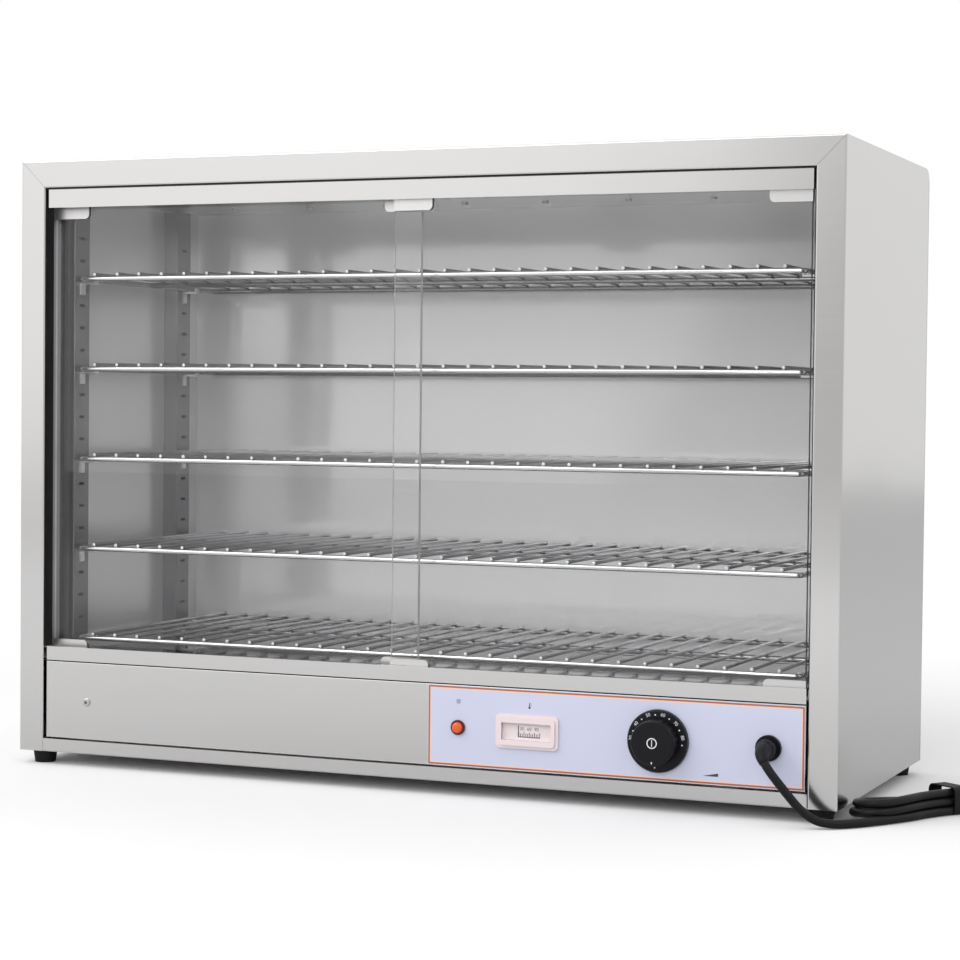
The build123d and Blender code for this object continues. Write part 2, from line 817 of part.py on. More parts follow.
foot_places = [(side * foot_x, y) for side in (-1, 1) for y in (front_foot_y, rear_foot_y)]
with BuildPart() as foot_screws:
    with BuildSketch(Plane.XY.offset(3)):
        with Locations(*foot_places):
            Circle(4.5)
    extrude(amount=3)
    with BuildSketch(Plane.XY.offset(6)):
        with Locations(*foot_places):
            Circle(foot_screw_hole / 2)
    extrude(amount=foot_height)
save(foot_screws, "foot_screws")

# Visible screws: one on the lower panel, a row in the ceiling and the rear ones
with BuildPart() as front_panel_screw:
    with BuildSketch(Plane.XZ.offset(-front_y - recess)):
        with Locations((panel_screw_x, control_z)):
            Circle(4.25)
    extrude(amount=2)
    fillet(front_panel_screw.edges().sort_by(Axis.Y)[0], radius=0.9)
    with BuildSketch(Plane.XZ.offset(-front_y - recess)):
        with Locations((panel_screw_x, control_z)):
            Circle(2)
    extrude(amount=-8)
save(front_panel_screw, "front_panel_screw")

ceiling_screw_y = back_y - 92.0
with BuildPart() as ceiling_screws:
    with BuildSketch(Plane.XY.offset(chamber_top_z)):
        with Locations((0, ceiling_screw_y)):
            with GridLocations(96, 1, 8, 1):
                Circle(3.5)
    extrude(amount=-2)
save(ceiling_screws, "ceiling_screws")

with BuildPart() as rear_screws:
    with BuildSketch(Plane.XZ.offset(-back_y)):
        with Locations((0, (base_z + top_z) / 2 - 26)):
            with GridLocations(2 * (half_width - 9), (body_height - 72) / 4, 2, 4):
                Circle(3.5)
    extrude(amount=-screw_head)
save(rear_screws, "rear_screws")

# Mains lead: out of the gland, down to the floor and into a folded hank beside the cabinet
lead_points = [
    (gland_x, gland_nose_y, control_z),
    (gland_x + 0.4, front_y - 30.0, control_z - 1.0),
    (gland_x + 9.4, front_y - 36.0, control_z - 14.0),
    (gland_x + 24.4, front_y - 33.0, control_z - 33.0),
    (gland_x + 39.4, front_y - 28.0, control_z - 52.0),
    (half_width - 14.0, front_y - 24.0, 7.0),
    (half_width + 1.0, front_y - 17.0, 4.6),
    (half_width + 15.0, front_y - 4.0, 4.6),
    (half_width + 28.0, front_y + 12.0, 4.6),
    (half_width + 39.0, front_y + 29.0, 4.6),
]


def corner_radii(points):
    radii = []
    for before, here, after in zip(points, points[1:], points[2:]):
        run_in = Vector(*here) - Vector(*before)
        run_out = Vector(*after) - Vector(*here)
        half_turn = run_in.get_angle(run_out) / 2
        shorter = min(run_in.length, run_out.length)
        radii.append(0.45 * shorter / tan(radians(half_turn)))
    return radii


def cord_tube(label, points):
    radii = corner_radii(points)
    with BuildPart() as tube:
        with BuildLine() as path:
            FilletPolyline(*points, radius=radii)
        start = Vector(*points[0])
        heading = Vector(*points[1]) - start
        with BuildSketch(Plane(origin=start, z_dir=heading)):
            Circle(cord_diameter / 2)
        sweep(path=path.wires()[0])
    length = path.wires()[0].length
    section = pi * cord_diameter**2 / 4
    print(label, "length", round(length, 1), "radii", [round(radius, 1) for radius in radii])
    print(label, "volume over section times length", round(tube.part.volume / (section * length), 4))
    save(tube, label)
    return tube


power_cord_lead = cord_tube("power_cord_lead", lead_points)

hank_direction = (0.5736, 0.8192)
hank_run = 180.0
hank_end_radius = 25.5
hank_waist = 38.0
hank_height = 27.0
hank_start = (half_width + 27.0, front_y + 50.0)
hank_centre = (
    hank_start[0] + hank_direction[0] * hank_run / 2,
    hank_start[1] + hank_direction[1] * hank_run / 2,
)
hank_plane = Plane(origin=(*hank_centre, 0.0), x_dir=(*hank_direction, 0.0), z_dir=(0, 0, 1))
with BuildPart() as cord_hank:
    with BuildSketch(hank_plane):
        Rectangle(hank_run, hank_waist)
        with Locations((-hank_run / 2, 0), (hank_run / 2, 0)):
            Circle(hank_end_radius)
    extrude(amount=hank_height)
    fillet(cord_hank.edges().filter_by(Plane.XY), radius=6)
save(cord_hank, "cord_hank")

# A strap over the middle of the hank
strap = 1.2
strap_plane = Plane(origin=(*hank_centre, 0.0), x_dir=(0, 0, 1), z_dir=(*hank_direction, 0.0))
with BuildPart() as cord_tie:
    with BuildSketch(strap_plane):
        Rectangle(hank_height + strap, hank_waist + 2 * strap, align=(Align.MIN, Align.CENTER))
    extrude(amount=5, both=True)
    add(cord_hank.part, mode=Mode.SUBTRACT)
save(cord_tie, "cord_tie")

# The tail leaves the far end of the hank from its top layer and ends in the plug on the floor
tail_start = (
    hank_start[0] + hank_direction[0] * (hank_run + 14) + hank_direction[1] * 16,
    hank_start[1] + hank_direction[1] * (hank_run + 14) - hank_direction[0] * 16,
)
tail_points = [
    (tail_start[0], tail_start[1], 20.0),
    (tail_start[0] + 11.0, tail_start[1] + 18.0, 14.0),
    (tail_start[0] + 17.0, tail_start[1] + 42.0, 7.0),
    (tail_start[0] + 14.0, tail_start[1] + 68.0, 4.6),
    (tail_start[0] + 4.0, tail_start[1] + 92.0, 9.0),
    (tail_start[0] - 6.0, tail_start[1] + 114.0, 16.0),
]
power_cord_tail = cord_tube("power_cord_tail", tail_points)

# Plug: a rounded body on its side, with three flat blades pointing away from the cord
plug_heading = (-0.41, 0.912)
plug_plane = Plane(
    origin=(tail_points[-1][0], tail_points[-1][1], 0.0), x_dir=(*plug_heading, 0.0), z_dir=(0, 0, 1)
)
with BuildPart() as plug_body:
    with BuildSketch(plug_plane):
        with BuildLine():
            Polyline((-2, -8), (14, -12), (18, -19), (38, -19), (38, 19), (18, 19), (14, 12), (-2, 8), close=True)
        make_face()
    extrude(amount=32)
    fillet(plug_body.edges().filter_by(Plane.XY), radius=3)
save(plug_body, "plug_body")

with BuildPart() as plug_pins:
    with BuildSketch(plug_plane.offset(8)):
        with Locations((38, -7), (38, 7)):
            Rectangle(17, 1.6, align=(Align.MIN, Align.CENTER))
    extrude(amount=6.3)
    with BuildSketch(plug_plane.offset(20)):
        with Locations((38, 0)):
            Rectangle(20, 1.6, align=(Align.MIN, Align.CENTER))
    extrude(amount=6.3)
save(plug_pins, "plug_pins")
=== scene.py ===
# %% [markdown]
# A counter-top pie warmer: a folded stainless cabinet with a heated chamber, five wire shelves,
# two sliding panes, a control strip and a mains lead. The casing, tracks and controls are the frame's
# own solids with new finishes. The shelves, the lead and the printed marks are made here.

# %% The frame
import random
from math import cos, pi, radians, sin

import bmesh
import bpy
from mathutils import Matrix, Vector


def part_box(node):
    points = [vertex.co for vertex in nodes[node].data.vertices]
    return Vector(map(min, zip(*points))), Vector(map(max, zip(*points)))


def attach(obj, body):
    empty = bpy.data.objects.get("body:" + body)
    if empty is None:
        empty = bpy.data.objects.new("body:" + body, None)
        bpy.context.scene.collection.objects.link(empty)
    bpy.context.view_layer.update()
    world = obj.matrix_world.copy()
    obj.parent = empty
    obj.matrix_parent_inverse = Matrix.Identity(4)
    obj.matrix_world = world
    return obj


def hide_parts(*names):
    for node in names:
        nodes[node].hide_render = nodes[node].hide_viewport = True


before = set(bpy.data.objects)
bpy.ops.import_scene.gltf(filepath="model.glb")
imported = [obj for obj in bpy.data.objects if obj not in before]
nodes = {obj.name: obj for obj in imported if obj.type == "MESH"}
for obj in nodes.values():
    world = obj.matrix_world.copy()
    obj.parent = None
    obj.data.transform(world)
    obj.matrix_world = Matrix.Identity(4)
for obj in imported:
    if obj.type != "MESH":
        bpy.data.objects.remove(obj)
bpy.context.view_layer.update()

MM = 0.001
front_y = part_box("right_side_panel")[0][1]
half_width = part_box("right_side_panel")[1][0]
base_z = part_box("base_pan")[0][2]
print("front plane", round(front_y, 4), "half width", half_width, "base", base_z)

# %% [markdown]
# The camera stands well to the right of the cabinet and a little above its middle, with a long lens.
# Its place comes from eight corners of the casing in the photograph.

# %% Camera
camera_data = bpy.data.cameras.new("photo_camera")
camera_data.sensor_width = 36.0
camera_data.lens = 90.12
camera_data.clip_end = 50.0
camera = bpy.data.objects.new("photo_camera", camera_data)
bpy.context.scene.collection.objects.link(camera)
camera_place = Vector((0.99596, front_y - 2.19628, base_z + 0.37925))
yaw = 0.3933
pitch = 0.0323
roll = 0.0104
forward = Vector((-sin(yaw) * cos(pitch), cos(yaw) * cos(pitch), -sin(pitch)))
level_right = Vector((cos(yaw), sin(yaw), 0.0))
level_up = level_right.cross(forward)
right = cos(roll) * level_right + sin(roll) * level_up
up = -sin(roll) * level_right + cos(roll) * level_up
turn = Matrix((right, up, -forward)).transposed().to_4x4()
camera.matrix_world = Matrix.Translation(camera_place) @ turn
bpy.context.scene.camera = camera
print("camera", [round(c, 3) for c in camera_place])

# %% [markdown]
# The lead is one 8.4 mm rubber cord, about 1.5 m long. It drops from the gland to the floor, runs to
# the near end of the hank, goes round it in long flat turns laid on each other, and ends in the plug.
# It is one spline, so the folds and the free stretch are the same piece, as in the real thing.

# %% Lead and hank
cord_diameter = 8.4 * MM
gland_x = 382.6 * MM
control_z = base_z + 55.0 * MM
lying_z = 4.6 * MM
lead_points = [
    (gland_x, front_y - 14.0 * MM, control_z),
    (gland_x + 0.4 * MM, front_y - 30.0 * MM, control_z - 1.0 * MM),
    (gland_x + 9.4 * MM, front_y - 36.0 * MM, control_z - 14.0 * MM),
    (gland_x + 24.4 * MM, front_y - 33.0 * MM, control_z - 33.0 * MM),
    (gland_x + 39.4 * MM, front_y - 28.0 * MM, control_z - 52.0 * MM),
    (half_width - 14.0 * MM, front_y - 24.0 * MM, 7.0 * MM),
    (half_width + 1.0 * MM, front_y - 17.0 * MM, lying_z),
    (half_width + 15.0 * MM, front_y - 4.0 * MM, lying_z),
    (half_width + 28.0 * MM, front_y + 12.0 * MM, lying_z),
]
along = Vector((0.5736, 0.8192, 0.0))
across = Vector((0.8192, -0.5736, 0.0))
hank_start = Vector((half_width + 27.0 * MM, front_y + 50.0 * MM, 0.0))
hank_run = 180.0 * MM
turn_rise = 8.3 * MM
step_up = 1.0 * MM
# Each turn's half width at the hank's ends and under the strap, and its shift along the hank
turn_shapes = [
    (22.0 * MM, 12.6 * MM, 0.0),
    (21.1 * MM, 11.0 * MM, 3.0 * MM),
    (20.2 * MM, 9.4 * MM, -2.0 * MM),
]
# Going round the near end, the lead climbs onto the turn below: angle and rise at each point
near_climb = [(120, 2.2 * MM), (160, 3.6 * MM), (200, 5.2 * MM), (240, 6.8 * MM)]


def hank_point(run, side, height):
    return tuple(hank_start + along * run + across * side + Vector((0.0, 0.0, height)))


def hank_turns():
    # Two whole turns and one more pass, each turn lying on the last and a little different in size
    points = []
    for level, (loop, waist, shift) in enumerate(turn_shapes):
        height = lying_z + turn_rise * level
        bend = loop * 1.12
        end_half = loop * 0.95
        quarter_half = waist * 1.08
        stations = [
            (0.10, end_half),
            (0.28, quarter_half),
            (0.50, waist),
            (0.72, quarter_half),
            (0.91, end_half),
        ]
        points += [hank_point(share * hank_run, half, height) for share, half in stations]
        if level == len(turn_shapes) - 1:
            break
        for angle in (-60, -20, 20, 60):
            run = hank_run + shift + bend * cos(radians(angle))
            points.append(hank_point(run, -bend * sin(radians(angle)), height))
        points += [hank_point(share * hank_run, -half, height) for share, half in reversed(stations[1:])]
        points.append(hank_point(0.09 * hank_run, -end_half, height + step_up))
        for angle, rise in near_climb:
            run = shift + bend * cos(radians(angle))
            points.append(hank_point(run, -bend * sin(radians(angle)), height + rise))
    return points


tail_start = hank_start + along * (hank_run + 14.0 * MM) + across * 16.0 * MM
tail_points = [
    (tail_start.x, tail_start.y, 20.0 * MM),
    (tail_start.x + 11.0 * MM, tail_start.y + 18.0 * MM, 14.0 * MM),
    (tail_start.x + 17.0 * MM, tail_start.y + 42.0 * MM, 7.0 * MM),
    (tail_start.x + 14.0 * MM, tail_start.y + 68.0 * MM, lying_z),
    (tail_start.x + 4.0 * MM, tail_start.y + 92.0 * MM, 9.0 * MM),
    (tail_start.x - 6.0 * MM, tail_start.y + 114.0 * MM, 16.0 * MM),
]
cord_route = lead_points + hank_turns() + tail_points
cord_curve = bpy.data.curves.new("mains_lead", "CURVE")
cord_curve.dimensions = "3D"
cord_spline = cord_curve.splines.new("NURBS")
cord_spline.points.add(len(cord_route) - 1)
for spline_point, place in zip(cord_spline.points, cord_route):
    spline_point.co = (*place, 1.0)
    # The radius is the cord's own and the bevel one metre, so the curve's box is as wide as the cord
    spline_point.radius = cord_diameter / 2
cord_spline.order_u = 3
cord_spline.use_endpoint_u = True
cord_spline.resolution_u = 8
mains_lead = bpy.data.objects.new("mains_lead", cord_curve)
bpy.context.scene.collection.objects.link(mains_lead)


def centre_line(curve_object):
    # The spline as Blender draws it, before it gets its thickness
    mesh = bpy.data.meshes.new_from_object(curve_object)
    line = [vertex.co.copy() for vertex in mesh.vertices]
    bpy.data.meshes.remove(mesh)
    return line


cord_line = centre_line(mains_lead)
unit_bevel = 1.0
cord_curve.bevel_depth = unit_bevel
cord_curve.bevel_resolution = 5
cord_curve.use_fill_caps = True
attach(mains_lead, "cabinet")
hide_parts("power_cord_lead", "cord_hank", "power_cord_tail")

# %% [markdown]
# Every finish is a small node tree. What several finishes share is a node group: the grain and
# waviness of rolled sheet, the uneven gloss of moulded plastic and the mask of a printed frame. The
# groups put out values only, and the shader stays in each material, so each can be read by itself.

# %% Material helpers
def socket_name(label):
    # Turns the keyword base_color into the socket's name, Base Color
    return label.replace("_", " ").title().replace("Ior", "IOR")


def new_material(name, **values):
    material = bpy.data.materials.new(name)
    material.use_nodes = True
    tree = material.node_tree
    shader = next(node for node in tree.nodes if node.type == "BSDF_PRINCIPLED")
    for label, value in values.items():
        shader.inputs[socket_name(label)].default_value = value
    return material, tree, shader


def add_group(tree, group, **values):
    # A group node fed by the object's own coordinates
    node = tree.nodes.new("ShaderNodeGroup")
    node.node_tree = group
    coordinates = tree.nodes.new("ShaderNodeTexCoord")
    tree.links.new(coordinates.outputs["Object"], node.inputs["Vector"])
    for label, value in values.items():
        node.inputs[socket_name(label)].default_value = value
    return node


def math_node(tree, operation, first, second=None, third=None):
    # Each value is a number or another node's output
    node = tree.nodes.new("ShaderNodeMath")
    node.operation = operation
    for slot, value in enumerate((first, second, third)):
        if value is None:
            continue
        if isinstance(value, (int, float)):
            node.inputs[slot].default_value = value
        else:
            tree.links.new(value, node.inputs[slot])
    return node.outputs[0]


def group_tree(name, inputs, outputs):
    # A node group with named sockets, and its input and output nodes
    group = bpy.data.node_groups.new(name, "ShaderNodeTree")
    for label, kind, value in inputs:
        socket = group.interface.new_socket(label, in_out="INPUT", socket_type=kind)
        if value is not None:
            socket.default_value = value
    for label, kind in outputs:
        group.interface.new_socket(label, in_out="OUTPUT", socket_type=kind)
    return group, group.nodes.new("NodeGroupInput"), group.nodes.new("NodeGroupOutput")


def set_bump(tree, shader, height, distance, strength=1.0):
    # A height drives the shader's normal, over a distance in metres
    bump = tree.nodes.new("ShaderNodeBump")
    bump.inputs["Strength"].default_value = strength
    bump.inputs["Distance"].default_value = distance
    tree.links.new(height, bump.inputs["Height"])
    tree.links.new(bump.outputs["Normal"], shader.inputs["Normal"])


# %% [markdown]
# Bright rolled sheet isn't a perfect mirror. It has a fine horizontal grain from rolling, and it lies
# in slow shallow waves that bend its reflections. Both come from noise in the object's own coordinates.
# A partly metallic value stands for sheet that is dull enough to scatter light as well as mirror it.

# %% Sheet finishes
grain_stretch = (3.0, 9.0, 700.0)
waves_per_metre = 5.0
wave_depth = 4.0 * MM
wave_strength = 0.25


def make_sheet_group():
    group, given, result = group_tree(
        "rolled_sheet",
        [
            ("Vector", "NodeSocketVector", None),
            ("Roughness", "NodeSocketFloat", 0.15),
            ("Grain", "NodeSocketFloat", 0.05),
            ("Wave", "NodeSocketFloat", 1.0),
        ],
        [("Roughness", "NodeSocketFloat"), ("Height", "NodeSocketFloat")],
    )
    stretch = group.nodes.new("ShaderNodeMapping")
    stretch.inputs["Scale"].default_value = grain_stretch
    group.links.new(given.outputs["Vector"], stretch.inputs["Vector"])
    grain = group.nodes.new("ShaderNodeTexNoise")
    grain.inputs["Scale"].default_value = 1.0
    grain.inputs["Detail"].default_value = 3.0
    group.links.new(stretch.outputs["Vector"], grain.inputs["Vector"])
    wave = group.nodes.new("ShaderNodeTexNoise")
    wave.inputs["Scale"].default_value = waves_per_metre
    wave.inputs["Detail"].default_value = 1.0
    group.links.new(given.outputs["Vector"], wave.inputs["Vector"])
    centred = math_node(group, "SUBTRACT", grain.outputs["Fac"], 0.5)
    spread = math_node(group, "MULTIPLY", centred, given.outputs["Grain"])
    rough = math_node(group, "ADD", given.outputs["Roughness"], spread)
    group.links.new(rough, result.inputs["Roughness"])
    height = math_node(group, "MULTIPLY", wave.outputs["Fac"], given.outputs["Wave"])
    group.links.new(height, result.inputs["Height"])
    return group


rolled_sheet = make_sheet_group()


def sheet_material(name, colour, roughness, grain, wave, metallic=1.0):
    material, tree, shader = new_material(name, base_color=(*colour, 1.0), metallic=metallic)
    sheet = add_group(tree, rolled_sheet, roughness=roughness, grain=grain, wave=wave)
    tree.links.new(sheet.outputs["Roughness"], shader.inputs["Roughness"])
    set_bump(tree, shader, sheet.outputs["Height"], wave_depth, wave_strength)
    return material


casing_steel = sheet_material("casing_steel", (0.80, 0.79, 0.78), 0.16, 0.05, 1.0)
liner_steel = sheet_material("liner_steel", (0.80, 0.795, 0.80), 0.20, 0.03, 0.6, 0.60)
back_steel = sheet_material("back_steel", (0.97, 0.965, 0.97), 0.10, 0.01, 0.08, 0.22)
ceiling_steel = sheet_material("ceiling_steel", (0.96, 0.96, 0.965), 0.12, 0.02, 0.5, 0.3)
chamber_floor_steel = sheet_material("chamber_floor_steel", (0.30, 0.30, 0.305), 0.06, 0.03, 0.3)
pilaster_steel = sheet_material("pilaster_steel", (0.24, 0.237, 0.242), 0.26, 0.05, 0.05)
clip_steel = sheet_material("clip_steel", (0.84, 0.83, 0.82), 0.34, 0.06, 0.2)
plated_steel = sheet_material("plated_steel", (0.66, 0.66, 0.64), 0.30, 0.05, 0.2)
element_steel = sheet_material("element_steel", (0.30, 0.28, 0.26), 0.42, 0.10, 0.2)
wire_chrome = sheet_material("wire_chrome", (0.30, 0.30, 0.305), 0.12, 0.03, 0.0)
# The next two are painted highlights: a brighter copy of the wire chrome for the front rail, and a bright
# finish for the wire ends that is partly their ground metal and partly painted highlight
front_rail_highlight_chrome = sheet_material("front_rail_highlight_chrome", (0.86, 0.86, 0.86), 0.10, 0.03, 0.0)
cut_end_and_highlight_chrome = sheet_material("cut_end_and_highlight_chrome", (0.95, 0.95, 0.95), 0.30, 0.03, 0.0, 0.45)
brass = sheet_material("blade_brass", (0.80, 0.62, 0.32), 0.22, 0.04, 0.0)
copper = sheet_material("probe_copper", (0.72, 0.42, 0.28), 0.30, 0.04, 0.0)
print("sheet finish nodes", len(casing_steel.node_tree.nodes))

# %% [markdown]
# The panes are clear float glass. Shadow rays pass straight through them, as the light in a real
# chamber does, or the cabinet would be dark inside. A pane's upright edges are ground, so they catch
# the light as pale lines: the mask of those narrow faces comes from the surface's own direction.

# %% Glass
edge_facing = 0.7
ground_white = (0.88, 0.90, 0.89, 1.0)


def glass_material(name, colour, roughness, edge_haze):
    material, tree, shader = new_material(
        name, base_color=(*colour, 1.0), roughness=roughness, transmission_weight=1.0, metallic=0.0, ior=1.47
    )
    output = next(node for node in tree.nodes if node.type == "OUTPUT_MATERIAL")
    clear = tree.nodes.new("ShaderNodeBsdfTransparent")
    clear.inputs["Color"].default_value = (*colour, 1.0)
    path = tree.nodes.new("ShaderNodeLightPath")
    ground = tree.nodes.new("ShaderNodeBsdfDiffuse")
    ground.inputs["Color"].default_value = ground_white
    coordinates = tree.nodes.new("ShaderNodeTexCoord")
    facing = tree.nodes.new("ShaderNodeSeparateXYZ")
    tree.links.new(coordinates.outputs["Normal"], facing.inputs["Vector"])
    sideways = math_node(tree, "ABSOLUTE", facing.outputs["X"])
    edge_mask = math_node(tree, "GREATER_THAN", sideways, edge_facing)
    edge_share = math_node(tree, "MULTIPLY", edge_mask, edge_haze)
    edge_mix = tree.nodes.new("ShaderNodeMixShader")
    tree.links.new(edge_share, edge_mix.inputs["Fac"])
    tree.links.new(shader.outputs["BSDF"], edge_mix.inputs[1])
    tree.links.new(ground.outputs["BSDF"], edge_mix.inputs[2])
    mix = tree.nodes.new("ShaderNodeMixShader")
    tree.links.new(path.outputs["Is Shadow Ray"], mix.inputs["Fac"])
    tree.links.new(edge_mix.outputs["Shader"], mix.inputs[1])
    tree.links.new(clear.outputs["BSDF"], mix.inputs[2])
    tree.links.new(mix.outputs["Shader"], output.inputs["Surface"])
    return material


door_glass = glass_material("door_glass", (0.980, 0.981, 0.982), 0.0, 0.6)
clear_plastic = glass_material("clear_plastic", (0.97, 0.97, 0.97), 0.02, 0.0)
print("glass nodes", len(door_glass.node_tree.nodes))

# %% [markdown]
# Moulded plastic and rubber come out of the tool with a faint uneven gloss, so no highlight on them is
# quite even. One fine noise drives both the gloss and a very shallow relief. The printed inks are
# given the same finish, as they are no more even than the plastic under them.

# %% Plastics, rubber and inks
mottle_depth = 0.05 * MM


def make_mottle_group():
    group, given, result = group_tree(
        "moulded_mottle",
        [
            ("Vector", "NodeSocketVector", None),
            ("Scale", "NodeSocketFloat", 300.0),
            ("Roughness", "NodeSocketFloat", 0.4),
            ("Spread", "NodeSocketFloat", 0.1),
        ],
        [("Roughness", "NodeSocketFloat"), ("Height", "NodeSocketFloat")],
    )
    noise = group.nodes.new("ShaderNodeTexNoise")
    noise.inputs["Detail"].default_value = 2.0
    group.links.new(given.outputs["Vector"], noise.inputs["Vector"])
    group.links.new(given.outputs["Scale"], noise.inputs["Scale"])
    centred = math_node(group, "SUBTRACT", noise.outputs["Fac"], 0.5)
    spread = math_node(group, "MULTIPLY", centred, given.outputs["Spread"])
    rough = math_node(group, "ADD", given.outputs["Roughness"], spread)
    group.links.new(rough, result.inputs["Roughness"])
    group.links.new(noise.outputs["Fac"], result.inputs["Height"])
    return group


moulded_mottle = make_mottle_group()


def moulded_material(name, colour, roughness, spread=0.1, scale=400.0, specular=0.5):
    material, tree, shader = new_material(
        name, base_color=(*colour, 1.0), metallic=0.0, specular_ior_level=specular
    )
    mottle = add_group(tree, moulded_mottle, scale=scale, roughness=roughness, spread=spread)
    tree.links.new(mottle.outputs["Roughness"], shader.inputs["Roughness"])
    set_bump(tree, shader, mottle.outputs["Height"], mottle_depth)
    return material


black_plastic = moulded_material("black_plastic", (0.004, 0.004, 0.006), 0.36, specular=0.28)
# This black is real rubber on the feet, sleeve and strap, and painted shade on the dark strips along the
# opening and the bars in the screw's recess
black_rubber_and_shade = moulded_material("black_rubber_and_shade", (0.008, 0.008, 0.008), 0.55, specular=0.25)
cord_rubber = moulded_material("cord_rubber", (0.006, 0.006, 0.007), 0.42, 0.15, 260.0, 0.28)
thermometer_pink = moulded_material("thermometer_pink", (0.83, 0.71, 0.73), 0.30)
dial_card = moulded_material("dial_card", (0.92, 0.82, 0.83), 0.55)
bezel_red = moulded_material("bezel_red", (0.10, 0.006, 0.005), 0.25)
nylon = moulded_material("nylon", (0.72, 0.72, 0.70), 0.45)
print_white = moulded_material("print_white", (0.80, 0.80, 0.82), 0.5)
print_dark = moulded_material("print_dark", (0.05, 0.05, 0.07), 0.5)
print("plastic nodes", len(black_plastic.node_tree.nodes))

# %% [markdown]
# The lamp lens is an orange-red moulded cap, lit from inside by a neon lamp. It glows a little, so a
# weak emission is added to its colour, and a thin coat gives the highlight of its polished front.

# %% Lamp lens
lens_relief = 0.2 * MM
lamp_lens, lamp_tree, lamp_shader = new_material(
    "lamp_lens", base_color=(0.74, 0.11, 0.016, 1.0), roughness=0.18, coat_weight=0.4
)
lamp_mottle = add_group(lamp_tree, moulded_mottle, scale=900.0)
set_bump(lamp_tree, lamp_shader, lamp_mottle.outputs["Height"], lens_relief)
lamp_shader.inputs["Emission Color"].default_value = (0.9, 0.10, 0.02, 1.0)
lamp_shader.inputs["Emission Strength"].default_value = 0.08
print("lens glow", round(lamp_shader.inputs["Emission Strength"].default_value, 2))

# %% [markdown]
# The control strip is a printed film: a pale lavender field inside a copper-coloured frame, with a
# thin peach line along the frame's inner side. Each line is a band at a set distance from the film's
# edges, worked out from the point's place, so the lines stay even in width on all four sides.

# %% Control strip print
copper_inset = 0.5 * MM
copper_width = 1.7 * MM
peach_inset = 2.2 * MM
peach_width = 1.4 * MM


def make_frame_group():
    group, given, result = group_tree(
        "printed_frame",
        [
            ("Vector", "NodeSocketVector", None),
            ("Left", "NodeSocketFloat", 0.0),
            ("Right", "NodeSocketFloat", 1.0),
            ("Bottom", "NodeSocketFloat", 0.0),
            ("Top", "NodeSocketFloat", 1.0),
            ("Inset", "NodeSocketFloat", 0.001),
            ("Line", "NodeSocketFloat", 0.002),
        ],
        [("Mask", "NodeSocketFloat")],
    )
    place = group.nodes.new("ShaderNodeSeparateXYZ")
    group.links.new(given.outputs["Vector"], place.inputs["Vector"])
    x_in = math_node(group, "MINIMUM",
                     math_node(group, "SUBTRACT", place.outputs["X"], given.outputs["Left"]),
                     math_node(group, "SUBTRACT", given.outputs["Right"], place.outputs["X"]))
    z_in = math_node(group, "MINIMUM",
                     math_node(group, "SUBTRACT", place.outputs["Z"], given.outputs["Bottom"]),
                     math_node(group, "SUBTRACT", given.outputs["Top"], place.outputs["Z"]))
    inside = math_node(group, "MINIMUM", x_in, z_in)
    past_inset = math_node(group, "GREATER_THAN", inside, given.outputs["Inset"])
    line_end = math_node(group, "ADD", given.outputs["Inset"], given.outputs["Line"])
    before_end = math_node(group, "LESS_THAN", inside, line_end)
    mask = math_node(group, "MULTIPLY", past_inset, before_end)
    group.links.new(mask, result.inputs["Mask"])
    return group


def colour_mix(tree, mask, base, top):
    # Each colour is three numbers or another node's output
    node = tree.nodes.new("ShaderNodeMix")
    node.data_type = "RGBA"
    tree.links.new(mask, node.inputs["Factor"])
    for socket, value in ((node.inputs["A"], base), (node.inputs["B"], top)):
        if isinstance(value, tuple):
            socket.default_value = (*value, 1.0)
        else:
            tree.links.new(value, socket)
    return node.outputs["Result"]


printed_frame = make_frame_group()
film_low, film_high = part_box("control_overlay")
film, film_tree, film_shader = new_material("control_film", roughness=0.28, coat_weight=0.15)
frame_edges = dict(left=film_low[0], right=film_high[0], bottom=film_low[2], top=film_high[2])
copper_line = add_group(film_tree, printed_frame, **frame_edges, inset=copper_inset, line=copper_width)
peach_line = add_group(film_tree, printed_frame, **frame_edges, inset=peach_inset, line=peach_width)
film_colour = colour_mix(film_tree, peach_line.outputs["Mask"], (0.62, 0.64, 0.80), (0.86, 0.60, 0.50))
film_colour = colour_mix(film_tree, copper_line.outputs["Mask"], film_colour, (0.40, 0.14, 0.09))
film_tree.links.new(film_colour, film_shader.inputs["Base Color"])
print("film", [round(v, 4) for v in film_low], [round(v, 4) for v in film_high])

# %% [markdown]
# Each solid of the frame gets the finish of its real material, by name. The casing is bright sheet, the
# chamber's walls are duller, the clips, nuts and screws are plated, and the feet, the gland and the
# knob are black. The lead's finish is set here too, as its curve stands for three of the solids.

